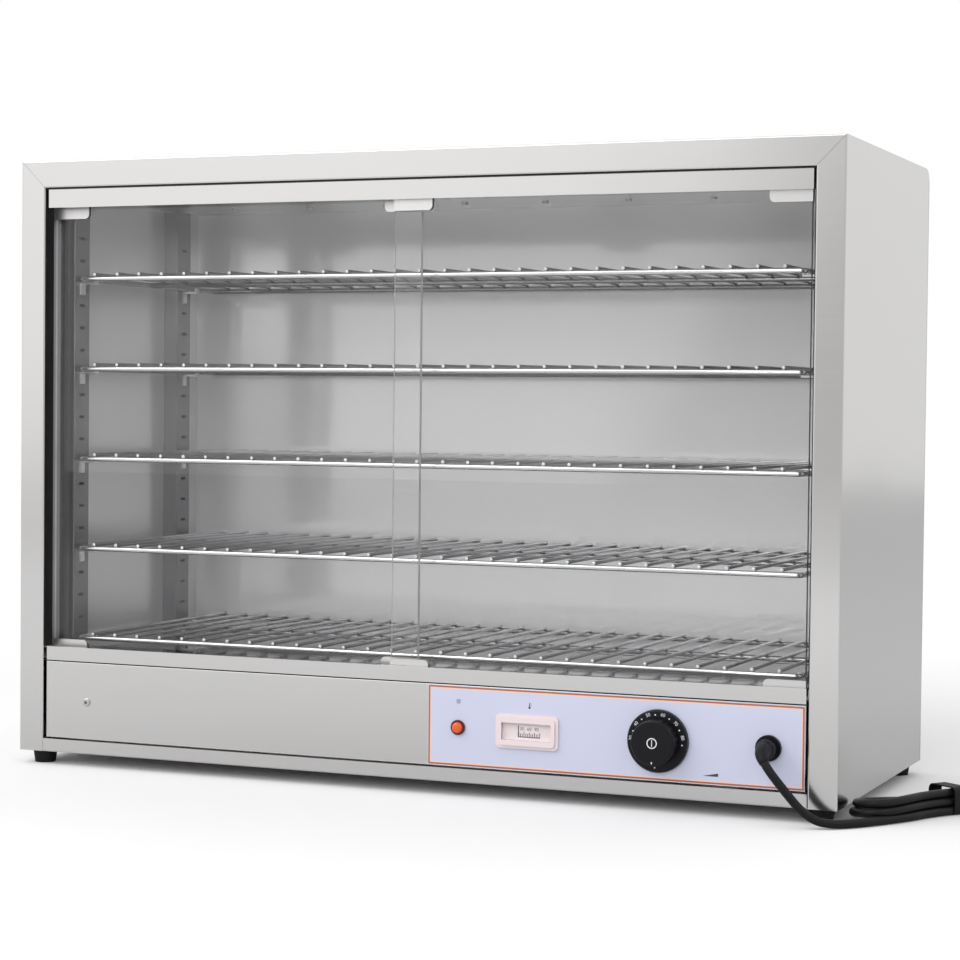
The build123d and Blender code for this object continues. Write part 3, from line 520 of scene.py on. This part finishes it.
# %% Finishes on the frame's solids
corners = [f"{end}_{side}" for end in ("front", "rear") for side in ("left", "right")]
finishes = [
    (casing_steel, ["left_side_panel", "right_side_panel", "top_panel", "back_panel", "base_pan"]),
    (casing_steel, ["front_panel", "door_header_track", "door_sill_track"]),
    (liner_steel, ["liner_left", "liner_right"]),
    (back_steel, ["liner_back"]),
    (ceiling_steel, ["liner_ceiling"]),
    (chamber_floor_steel, ["liner_floor"]),
    (pilaster_steel, [f"pilaster_{corner}" for corner in corners]),
    (clip_steel, ["shelf_clips", "left_door_clips", "right_door_clips"]),
    (door_glass, ["left_door_glass", "right_door_glass"]),
    (film, ["control_overlay"]),
    (bezel_red, ["pilot_lamp_body"]),
    (lamp_lens, ["pilot_lamp_lens"]),
    (thermometer_pink, ["thermometer_case"]),
    (dial_card, ["thermometer_dial"]),
    (clear_plastic, ["thermometer_window"]),
    (black_plastic, ["thermostat_body", "thermostat_knob", "cable_gland", "cable_gland_nut", "plug_body"]),
    (nylon, ["sill_glides", "terminal_block"]),
    (copper, ["thermostat_probe"]),
    (element_steel, ["heating_element"]),
    (plated_steel, ["element_bracket_left", "element_bracket_right", "control_divider"]),
    (plated_steel, ["thermostat_nut", "knob_spindle", "foot_screws", "front_panel_screw"]),
    (plated_steel, ["ceiling_screws", "rear_screws"]),
    (black_rubber_and_shade, [f"foot_{corner}" for corner in corners]),
    (brass, ["plug_pins"]),
]
finished = set()
for material, labels in finishes:
    for label in labels:
        data = nodes[label].data
        data.materials.clear()
        data.materials.append(material)
        finished.add(label)
mains_lead.data.materials.append(cord_rubber)
print("finished", len(finished), "made again here", sorted(set(nodes) - finished))

# %% [markdown]
# Pieces made here ride on the frame's bodies, and each takes one of the frame's material slots. A long
# bar with domed ends is its half outline spun about its own axis. A bent wire is a round section drawn
# along a line of points, as a bending machine feeds it.

# %% Mesh helpers
def new_object(name, mesh, material, body):
    item = bpy.data.objects.new(name, mesh)
    bpy.context.scene.collection.objects.link(item)
    mesh.materials.clear()
    mesh.materials.append(material)
    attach(item, body)
    return item


def finish_mesh(target, name):
    # Turns a working mesh into a kept one
    mesh = bpy.data.meshes.new(name)
    target.to_mesh(mesh)
    target.free()
    return mesh


def smooth(mesh):
    for face in mesh.polygons:
        face.use_smooth = True


def add_capsule(target, start, end, radius, segments=14, rings=4):
    # A round bar with domed ends, from its half outline spun about its axis
    axis = (end - start).normalized()
    side = axis.cross(Vector((0.0, 0.0, 1.0))).normalized()
    outline = []
    for step in range(rings + 1):
        angle = pi / 2 * step / rings
        outline.append(start - axis * radius * cos(angle) + side * radius * sin(angle) + axis * radius)
    for step in range(rings, -1, -1):
        angle = pi / 2 * step / rings
        outline.append(end + axis * radius * cos(angle) + side * radius * sin(angle) - axis * radius)
    vertices = [target.verts.new(place) for place in outline]
    edges = [target.edges.new(pair) for pair in zip(vertices, vertices[1:])]
    bmesh.ops.spin(
        target, geom=vertices + edges, cent=start, axis=axis, angle=2 * pi, steps=segments, use_merge=True
    )


def rounded_loop(half_x, low_y, high_y, radius, steps=6):
    # The frame wire's centre line, with an arc at each corner
    corners = [
        (half_x - radius, low_y + radius, -90),
        (half_x - radius, high_y - radius, 0),
        (-half_x + radius, high_y - radius, 90),
        (-half_x + radius, low_y + radius, 180),
    ]
    line = []
    for x, y, first in corners:
        for step in range(steps + 1):
            angle = radians(first + 90 * step / steps)
            line.append((x + radius * cos(angle), y + radius * sin(angle)))
    return line


def tube_mesh(name, places, radius, cyclic):
    # A bar of round section along a line of points
    curve = bpy.data.curves.new(name, "CURVE")
    curve.dimensions = "3D"
    spline = curve.splines.new("POLY")
    spline.points.add(len(places) - 1)
    for spline_point, place in zip(spline.points, places):
        spline_point.co = (*place, 1.0)
    spline.use_cyclic_u = cyclic
    curve.bevel_depth = radius
    curve.bevel_resolution = 4
    holder = bpy.data.objects.new(name, curve)
    mesh = bpy.data.meshes.new_from_object(holder)
    bpy.data.objects.remove(holder)
    bpy.data.curves.remove(curve)
    return mesh


# %% [markdown]
# A wire shelf is a bent frame wire and a middle rail, with straight wires welded across on top. The
# wires are cut from coil and dressed, so each ends in a small round head just past the front rail and
# none is quite straight. The front stretch of the frame wire is a painted highlight: it takes a brighter
# copy of the wires' chrome, standing in for the light it catches. The wires' front ends take a bright
# finish that is partly their ground metal and partly painted highlight.

# %% Five shelves
rail_radius = 2.8 * MM
wire_radius = 1.9 * MM
wire_pitch = 27.3 * MM
wire_count = 29
shelf_half_x = 401.0 * MM
corner_radius = 6.0 * MM
rail_setback = 1.0 * MM
weld_sink = 0.2 * MM
wire_end_inset = 0.4 * MM
front_rail_depth = 10.0 * MM
random.seed(7)


def make_shelf(number):
    low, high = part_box(f"wire_shelf_{number}")
    level = low[2] + rail_radius
    rail_front_y = low[1] + rail_radius + rail_setback
    rail_rear_y = high[1] - rail_radius
    wire_z = level + rail_radius + wire_radius - weld_sink
    shelf = bmesh.new()
    loop = rounded_loop(shelf_half_x, rail_front_y, rail_rear_y, corner_radius)
    frame_mesh = tube_mesh("shelf_frame", [(x, y, level) for x, y in loop], rail_radius, True)
    shelf.from_mesh(frame_mesh)
    bpy.data.meshes.remove(frame_mesh)
    middle_y = (rail_front_y + rail_rear_y) / 2
    add_capsule(
        shelf, Vector((-shelf_half_x, middle_y, level)), Vector((shelf_half_x, middle_y, level)), rail_radius
    )
    for place in range(wire_count):
        x = (place - (wire_count - 1) / 2) * wire_pitch
        front_lean = random.uniform(-0.5, 0.5) * MM
        rear_lean = random.uniform(-0.9, 0.9) * MM
        overhang = random.uniform(-0.5, 0.2) * MM
        add_capsule(
            shelf,
            Vector((x + front_lean, low[1] + wire_end_inset - overhang, wire_z)),
            Vector((x + rear_lean, high[1] - wire_end_inset, wire_z)),
            wire_radius,
        )
    bmesh.ops.remove_doubles(shelf, verts=shelf.verts, dist=0.01 * MM)
    bmesh.ops.recalc_face_normals(shelf, faces=shelf.faces)
    mesh = finish_mesh(shelf, f"shelf_wires_{number}")
    smooth(mesh)
    item = new_object(f"shelf_wires_{number}", mesh, wire_chrome, f"shelf_{number}")
    mesh.materials.append(front_rail_highlight_chrome)
    mesh.materials.append(cut_end_and_highlight_chrome)
    rail_top = level + rail_radius * 0.98
    # Painted highlight: the front rail's faces get the brighter copy of the chrome, and the wires' front ends
    # the bright finish that is partly ground metal
    for face in mesh.polygons:
        centre = face.center
        if centre.z < rail_top and centre.y < low[1] + front_rail_depth:
            face.material_index = 1
        elif centre.y < low[1] + wire_radius:
            face.material_index = 2
    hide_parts(f"wire_shelf_{number}")
    return item


shelves = [make_shelf(number) for number in range(1, 6)]
print("shelf faces", len(shelves[0].data.polygons))

# %% [markdown]
# The lead leaves the gland through a short tapered sleeve that stops it from kinking. It is a row of
# rings along the first part of the lead's own line, wide at the gland and fine at its end.

# %% Strain relief
relief_length = 24.0 * MM
relief_root = 8.2 * MM
relief_taper = 3.4 * MM
relief_sides = 20
relief = bmesh.new()
travelled = 0.0
ring_before = None
for here, ahead in zip(cord_line, cord_line[1:]):
    heading = (ahead - here).normalized()
    side = heading.cross(Vector((0.0, 0.0, 1.0))).normalized()
    top = side.cross(heading)
    radius = relief_root - relief_taper * travelled / relief_length
    ring = []
    for step in range(relief_sides):
        angle = 2 * pi * step / relief_sides
        ring.append(relief.verts.new(here + side * radius * cos(angle) + top * radius * sin(angle)))
    if ring_before:
        for step in range(relief_sides):
            following = (step + 1) % relief_sides
            relief.faces.new((ring_before[step], ring_before[following], ring[following], ring[step]))
    else:
        relief.faces.new(ring)
    ring_before = ring
    travelled += (ahead - here).length
    if travelled > relief_length:
        break
relief.faces.new(ring_before)
bmesh.ops.recalc_face_normals(relief, faces=relief.faces)
relief_mesh = finish_mesh(relief, "strain_relief")
smooth(relief_mesh)
strain_relief = new_object("strain_relief", relief_mesh, black_rubber_and_shade, "cabinet")
print("sleeve length", round(travelled, 4))

# %% [markdown]
# A rubber strap holds the hank together at its middle. It is a flat band drawn round the turns, with
# rounded corners, and it rests on the floor under them. Four rings make it: the inner and the outer
# face, each at the band's two edges.

# %% Strap round the hank
strap_half = 8.0 * MM
strap_corner_steps = 4
# Each face's half width, underside, top and corner radius
inner_face = (17.2 * MM, 0.3 * MM, 26.2 * MM, 4.5 * MM)
outer_face = (18.6 * MM, 0.1 * MM, 27.4 * MM, 5.7 * MM)
strap = bmesh.new()


def strap_ring(half, low, high, radius, run):
    ring = []
    for side, height, first in (
        (half - radius, high - radius, 0),
        (-half + radius, high - radius, 90),
        (-half + radius, low + radius, 180),
        (half - radius, low + radius, 270),
    ):
        for step in range(strap_corner_steps + 1):
            angle = radians(first + 90 * step / strap_corner_steps)
            place = hank_point(run, side + radius * cos(angle), height + radius * sin(angle))
            ring.append(strap.verts.new(place))
    return ring


near_edge = hank_run / 2 - strap_half
far_edge = hank_run / 2 + strap_half
rings = [
    strap_ring(*inner_face, near_edge),
    strap_ring(*outer_face, near_edge),
    strap_ring(*outer_face, far_edge),
    strap_ring(*inner_face, far_edge),
]
for ring, following in zip(rings, rings[1:] + rings[:1]):
    for step in range(len(ring)):
        after = (step + 1) % len(ring)
        strap.faces.new((ring[step], ring[after], following[after], following[step]))
bmesh.ops.recalc_face_normals(strap, faces=strap.faces)
strap_mesh = finish_mesh(strap, "cord_strap")
cord_strap = new_object("cord_strap", strap_mesh, black_rubber_and_shade, "cabinet")
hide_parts("cord_tie")
print("strap faces", len(cord_strap.data.polygons))

# %% [markdown]
# The sleeve and the strap ride the cabinet's body with the lead, because they lie wherever it lies.

# %% [markdown]
# Thin black strips line the folded edges of the opening at its sides and top, and fill the joint
# between the sill and the panel below it. They are painted shade: dark boxes standing in for the shadow
# in these gaps, and they show as the dark lines beside the left band, under the top band and above the
# panel. Each strip is a plain box.

# %% Painted shade strips
side_band = 29.0 * MM
opening_half = half_width - side_band
header_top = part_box("door_header_track")[1][2]
sill_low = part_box("door_sill_track")[0][2]
sill_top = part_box("door_sill_track")[1][2]
panel_low, panel_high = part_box("front_panel")
shade_strip_thickness = 0.8 * MM
shade_strip_front = front_y + 1.5 * MM
shade_strip_back = front_y + 17.0 * MM
top_strip_front = front_y + 0.8 * MM
top_strip_back = front_y + 2.9 * MM
top_strip_height = 1.5 * MM
joint_front = panel_low[1] - 0.1 * MM
joint_back = panel_low[1] + 0.6 * MM
joint_low = panel_high[2] - 0.9 * MM
joint_high = sill_low + 0.4 * MM
# Painted shade: each box is a dark strip standing in for the shadow in a gap at the opening or the sill joint
strip_corners = {
    "shade_strip_left": (
        (-opening_half, shade_strip_front, sill_top),
        (shade_strip_thickness - opening_half, shade_strip_back, header_top),
    ),
    "shade_strip_right": (
        (opening_half - shade_strip_thickness, shade_strip_front, sill_top),
        (opening_half, shade_strip_back, header_top),
    ),
    "shade_strip_top": (
        (-opening_half, top_strip_front, header_top - top_strip_height),
        (opening_half, top_strip_back, header_top),
    ),
    "shade_strip_sill": (
        (-opening_half, joint_front, joint_low),
        (opening_half, joint_back, joint_high),
    ),
}


def shade_strip(name, low, high):
    strip = bmesh.new()
    bmesh.ops.create_cube(strip, size=1.0)
    extent = Vector(high) - Vector(low)
    middle = (Vector(high) + Vector(low)) / 2
    bmesh.ops.scale(strip, vec=extent, verts=strip.verts)
    bmesh.ops.translate(strip, vec=middle, verts=strip.verts)
    return new_object(name, finish_mesh(strip, name), black_rubber_and_shade, "cabinet")


for name, (low, high) in strip_corners.items():
    shade_strip(name, low, high)
print("opening", round(2 * opening_half, 4), "wide, from", round(sill_top, 4), "to", round(header_top, 4))

# %% [markdown]
# Printed marks and small flat shapes are thin meshes that stand just off the surface that carries
# them. Text becomes a mesh before it is placed. Bars, discs and rings are drawn flat and then stood up
# to face the front, so that every mark is placed by its centre and its turn.

# %% Print helpers
print_lift = 0.05 * MM
scale_lift = 0.06 * MM


def flat_text(body_text, size):
    curve = bpy.data.curves.new("print_text", "FONT")
    curve.body = body_text
    curve.size = size
    curve.align_x = "CENTER"
    curve.align_y = "CENTER"
    holder = bpy.data.objects.new("print_text", curve)
    mesh = bpy.data.meshes.new_from_object(holder)
    bpy.data.objects.remove(holder)
    bpy.data.curves.remove(curve)
    return mesh


def upright(x, y, z, turn_angle=0.0):
    # Stands a flat mesh up to face the front, turned clockwise about its own centre
    stand = Matrix.Rotation(pi / 2, 4, "X")
    return Matrix.Translation((x, y, z)) @ Matrix.Rotation(turn_angle, 4, "Y") @ stand


def add_mesh(target, mesh, place):
    mesh.transform(place)
    target.from_mesh(mesh)
    bpy.data.meshes.remove(mesh)


def add_circle(target, place, radius, segments):
    turns = [2 * pi * step / segments for step in range(segments)]
    return [target.verts.new(place @ Vector((radius * cos(turn), radius * sin(turn), 0.0))) for turn in turns]


def add_disc(target, place, radius, inner=0.0, segments=24):
    # A flat disc, or a ring if it has an inner radius, facing the front
    rim = add_circle(target, place, radius, segments)
    if inner == 0.0:
        target.faces.new(rim)
        return
    hole = add_circle(target, place, inner, segments)
    for step in range(segments):
        following = (step + 1) % segments
        target.faces.new((rim[step], rim[following], hole[following], hole[step]))


def add_bar(target, place, width, height):
    # A flat rectangle facing the front
    half_x = width / 2
    half_y = height / 2
    corners = [(-half_x, -half_y), (half_x, -half_y), (half_x, half_y), (-half_x, half_y)]
    target.faces.new([target.verts.new(place @ Vector((x, y, 0.0))) for x, y in corners])


def finish_print(target, name, material, body):
    return new_object(name, finish_mesh(target, name), material, body)


# %% [markdown]
# The panel's pan-head screw has a cross recess. Two crossed dark bars on the head are painted shade,
# standing in for the shadow in that recess, a little off the square, as a screw stops where it is tight.

# %% Painted shade in the screw recess
bar_length = 3.8 * MM
bar_width = 0.9 * MM
screw_low, screw_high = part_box("front_panel_screw")
screw_middle = Vector(screw_low).lerp(Vector(screw_high), 0.5)
recess = bmesh.new()
# Painted shade: two dark bars standing in for the shadow in the cross recess
for slant in (50, 140):
    place = upright(screw_middle.x, screw_low[1] - print_lift, screw_middle.z, radians(slant))
    add_bar(recess, place, bar_length, bar_width)
screw_recess_shade = finish_print(recess, "screw_recess_shade", black_rubber_and_shade, "cabinet")
print("recess faces", len(screw_recess_shade.data.polygons))

# %% [markdown]
# The knob's scale is printed in white: short numbers and dots on the skirt, a ring with a line at the
# centre of the cap and a pointer near its rim. The numbers stand at even angles, with a dot after each
# and one for off, and all of it turns with the knob.

# %% Knob marks
knob_low, knob_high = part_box("thermostat_knob")
knob_x = (knob_low[0] + knob_high[0]) / 2
knob_z = (knob_low[2] + knob_high[2]) / 2
skirt_depth = 6.0 * MM
skirt_y = knob_high[1] - skirt_depth - scale_lift
cap_y = knob_low[1] - scale_lift
number_circle = 26.4 * MM
number_size = 4.6 * MM
dot_circle = 25.6 * MM
dot_radius = 0.75 * MM
ring_outer = 5.2 * MM
ring_inner = 4.2 * MM
ring_line = (0.8 * MM, 6.4 * MM)
pointer_reach = 19.0 * MM
pointer_size = (1.0 * MM, 2.2 * MM)
scale_step = 33
first_number = -86
first_dot = -70
off_dot = 184
numbers = ("30", "40", "50", "60", "70", "80")
marks = bmesh.new()


def skirt_place(angle, circle, turn_angle=0.0):
    turned = radians(angle)
    return upright(knob_x + circle * sin(turned), skirt_y, knob_z + circle * cos(turned), turn_angle)


for place, words in enumerate(numbers):
    angle = first_number + scale_step * place
    add_mesh(marks, flat_text(words, number_size), skirt_place(angle, number_circle, radians(angle)))
for angle in [first_dot + scale_step * place for place in range(len(numbers))] + [off_dot]:
    add_disc(marks, skirt_place(angle, dot_circle), dot_radius, segments=12)
add_disc(marks, upright(knob_x, cap_y, knob_z), ring_outer, inner=ring_inner, segments=32)
add_bar(marks, upright(knob_x, cap_y, knob_z), *ring_line)
add_bar(marks, upright(knob_x, cap_y, knob_z - pointer_reach), *pointer_size)
knob_marks = finish_print(marks, "knob_marks", print_white, "knob")
print("knob mark faces", len(knob_marks.data.polygons))

# %% [markdown]
# The thermometer's card has a short scale in dark print: ticks on a base line, every third one
# taller, with a line at the left end and three numbers above. Bars and text are enough at this size.

# %% Thermometer scale
dial_low, dial_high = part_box("thermometer_dial")
dial_y = dial_low[1] - scale_lift
dial_x = (dial_low[0] + dial_high[0]) / 2 + 2.0 * MM
dial_z = (dial_low[2] + dial_high[2]) / 2
base_line = (23.0 * MM, 0.9 * MM)
base_line_drop = 5.4 * MM
end_line = (1.1 * MM, 11.5 * MM)
tick_foot = 5.0 * MM
tick_pitch = 1.85 * MM
tick_count = 13
tick_width = 0.75 * MM
tall_tick = 4.4 * MM
short_tick = 3.0 * MM
number_pitch = 7.6 * MM
number_rise = 2.6 * MM
scale = bmesh.new()
add_bar(scale, upright(dial_x, dial_y, dial_z - base_line_drop), *base_line)
add_bar(scale, upright(dial_x - base_line[0] / 2, dial_y, dial_z), *end_line)
for tick in range(tick_count):
    tall = tall_tick if tick % 3 == 0 else short_tick
    x = dial_x + (tick - (tick_count - 1) / 2) * tick_pitch
    add_bar(scale, upright(x, dial_y, dial_z - tick_foot + tall / 2), tick_width, tall)
for place, words in zip((-1, 0, 1), ("30", "60", "90")):
    number_place = upright(dial_x + place * number_pitch, dial_y, dial_z + number_rise)
    add_mesh(scale, flat_text(words, number_size), number_place)
thermometer_scale = finish_print(scale, "thermometer_scale", print_dark, "cabinet")
print("scale faces", len(thermometer_scale.data.polygons))

# %% [markdown]
# Three small plain pictograms stand on the film: a lamp above the pilot lamp, a thermometer above the
# dial and a rising wedge below the knob. They are flat dark print just off the film, each made of a
# ring, a disc, bars or one triangle, as such plain signs are drawn.

# %% Film pictograms
film_y = film_low[1] - print_lift
lamp_x = sum(corner[0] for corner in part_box("pilot_lamp_lens")) / 2
sign_z = base_z + 81.0 * MM
lamp_bar = (0.4 * MM, 4.0 * MM)
stem = (0.9 * MM, 4.4 * MM)
stem_rise = 0.6 * MM
bulb_drop = 2.0 * MM
bulb_radius = 1.2 * MM
mark_size = (1.0 * MM, 0.35 * MM)
mark_offset = 1.6 * MM
mark_pitch = 1.2 * MM
wedge_x = knob_x + 52.0 * MM
wedge_z = base_z + 24.0 * MM
wedge_half = 8.0 * MM
wedge_height = 3.2 * MM
pictograms = bmesh.new()
add_disc(pictograms, upright(lamp_x, film_y, sign_z), 2.3 * MM, inner=1.9 * MM, segments=32)
for slant in (45, 135):
    add_bar(pictograms, upright(lamp_x, film_y, sign_z, radians(slant)), *lamp_bar)
add_bar(pictograms, upright(dial_x, film_y, sign_z + stem_rise), *stem)
add_disc(pictograms, upright(dial_x, film_y, sign_z - bulb_drop), bulb_radius)
for mark in range(3):
    mark_z = sign_z + (mark - 0.2) * mark_pitch
    add_bar(pictograms, upright(dial_x + mark_offset, film_y, mark_z), *mark_size)
wedge_place = upright(wedge_x, film_y, wedge_z)
wedge = [(-wedge_half, 0.0), (wedge_half, 0.0), (wedge_half, wedge_height)]
pictograms.faces.new([pictograms.verts.new(wedge_place @ Vector((x, z, 0.0))) for x, z in wedge])
film_pictograms = finish_print(pictograms, "film_pictograms", print_dark, "cabinet")
print("pictogram faces", len(film_pictograms.data.polygons))

# %% [markdown]
# The floor is a plain pale sheet that keeps the shadow. Away from the cabinet it fades into plain
# white for the camera, so no horizon shows. For every other ray it is darker, as a studio's floor is
# beside its lit table, so the bright sheet doesn't mirror a white floor.

# %% Floor
floor_reach = 9.0
fade_start = 0.65
fade_end = 1.5
floor_shape = bmesh.new()
bmesh.ops.create_grid(floor_shape, x_segments=1, y_segments=1, size=floor_reach)
floor_mesh = finish_mesh(floor_shape, "floor")
floor = bpy.data.objects.new("floor", floor_mesh)
bpy.context.scene.collection.objects.link(floor)
floor_material, floor_tree, floor_shader = new_material("floor_white", roughness=0.9, specular_ior_level=0.1)
floor_output = next(node for node in floor_tree.nodes if node.type == "OUTPUT_MATERIAL")
floor_place = floor_tree.nodes.new("ShaderNodeTexCoord")
floor_distance = floor_tree.nodes.new("ShaderNodeVectorMath")
floor_distance.operation = "LENGTH"
floor_tree.links.new(floor_place.outputs["Object"], floor_distance.inputs[0])
floor_far = floor_tree.nodes.new("ShaderNodeMapRange")
floor_far.interpolation_type = "SMOOTHSTEP"
floor_far.inputs["From Min"].default_value = fade_start
floor_far.inputs["From Max"].default_value = fade_end
floor_tree.links.new(floor_distance.outputs["Value"], floor_far.inputs["Value"])
floor_path = floor_tree.nodes.new("ShaderNodeLightPath")
from_camera = floor_path.outputs["Is Camera Ray"]
floor_seen = math_node(floor_tree, "MULTIPLY", floor_far.outputs["Result"], from_camera)
floor_colour = colour_mix(floor_tree, from_camera, (0.57, 0.57, 0.575), (0.93, 0.93, 0.93))
floor_tree.links.new(floor_colour, floor_shader.inputs["Base Color"])
floor_white = floor_tree.nodes.new("ShaderNodeEmission")
floor_mix = floor_tree.nodes.new("ShaderNodeMixShader")
floor_tree.links.new(floor_seen, floor_mix.inputs["Fac"])
floor_tree.links.new(floor_shader.outputs["BSDF"], floor_mix.inputs[1])
floor_tree.links.new(floor_white.outputs["Emission"], floor_mix.inputs[2])
floor_tree.links.new(floor_mix.outputs["Shader"], floor_output.inputs["Surface"])
floor_mesh.materials.append(floor_material)
print("floor fades from", fade_start, "to", fade_end)

# %% [markdown]
# A large soft lamp stands high on the left, where the photograph's highlights come from, with a weak
# one on the right. A third in front reaches into the chamber, and the bright sheet doesn't mirror it.

# %% Lamps
lamp_target = Vector((0.0, 0.0, 0.3))


def area_lamp(name, place, size, power):
    data = bpy.data.lights.new(name, "AREA")
    data.size = size
    data.energy = power
    lamp = bpy.data.objects.new(name, data)
    bpy.context.scene.collection.objects.link(lamp)
    lamp.location = place
    lamp.rotation_euler = (lamp_target - Vector(place)).to_track_quat("-Z", "Y").to_euler()
    return lamp


area_lamp("key", (-2.2, -2.4, 3.0), 3.4, 60.0)
area_lamp("fill", (2.6, -1.2, 2.4), 2.0, 10.0)
front_lamp = area_lamp("front", (0.5, -3.2, 1.3), 1.6, 24.0)
front_lamp.visible_glossy = False
print("lamps", len(bpy.data.lights))

# %% [markdown]
# The sky is what the bright sheet mirrors: pale to the left, with a soft grey screen in front of the
# right half, leaning like a screen on a stand, and a little brighter higher up. Behind the cabinet it is
# one even grey. The camera itself sees plain white, also through the panes.

# %% Sky
screen_lean = -0.5
stops = [(0.0, 0.80), (0.22, 1.0), (0.338, 0.98), (0.348, 0.52), (0.45, 0.49), (0.62, 0.60), (1.0, 0.66)]
behind_grey = (0.80, 0.80, 0.80)
plain_white = (1.0, 1.0, 1.0)
lift = {"From Min": -0.05, "From Max": 0.45, "To Min": 0.94, "To Max": 1.08}
world = bpy.data.worlds.new("studio")
bpy.context.scene.world = world
world.use_nodes = True
sky = world.node_tree
sky.nodes.clear()
direction = sky.nodes.new("ShaderNodeTexCoord")
parts = sky.nodes.new("ShaderNodeSeparateXYZ")
sky.links.new(direction.outputs["Generated"], parts.inputs["Vector"])
slope = math_node(sky, "MULTIPLY", parts.outputs["Z"], screen_lean)
sweep = math_node(sky, "ADD", parts.outputs["X"], slope)
ramp_place = math_node(sky, "MULTIPLY_ADD", sweep, 0.5, 0.5)
ramp = sky.nodes.new("ShaderNodeValToRGB")
sky.links.new(ramp_place, ramp.inputs["Fac"])
elements = ramp.color_ramp.elements
for position, grey in stops[1:-1]:
    elements.new(position).color = (grey, grey, grey, 1.0)
for element, (position, grey) in ((elements[0], stops[0]), (elements[-1], stops[-1])):
    element.position = position
    element.color = (grey, grey, grey, 1.0)
behind = math_node(sky, "GREATER_THAN", parts.outputs["Y"], 0.0)
sky_lift = sky.nodes.new("ShaderNodeMapRange")
sky_lift.interpolation_type = "SMOOTHSTEP"
for label, value in lift.items():
    sky_lift.inputs[label].default_value = value
sky.links.new(parts.outputs["Z"], sky_lift.inputs["Value"])
studio_front = colour_mix(sky, behind, ramp.outputs["Color"], behind_grey)
studio_colour = sky.nodes.new("ShaderNodeVectorMath")
studio_colour.operation = "SCALE"
sky.links.new(studio_front, studio_colour.inputs["Vector"])
sky.links.new(sky_lift.outputs["Result"], studio_colour.inputs["Scale"])
path = sky.nodes.new("ShaderNodeLightPath")
through = math_node(sky, "MULTIPLY", path.outputs["Is Transmission Ray"], behind)
seen = math_node(sky, "MAXIMUM", path.outputs["Is Camera Ray"], through)
sky_colour = colour_mix(sky, seen, studio_colour.outputs["Vector"], plain_white)
background = sky.nodes.new("ShaderNodeBackground")
sky.links.new(sky_colour, background.inputs["Color"])
sky_output = sky.nodes.new("ShaderNodeOutputWorld")
sky.links.new(background.outputs["Background"], sky_output.inputs["Surface"])
bpy.context.scene.view_settings.view_transform = "Standard"
print("sky stops", [(round(e.position, 3), round(e.color[0], 2)) for e in elements])
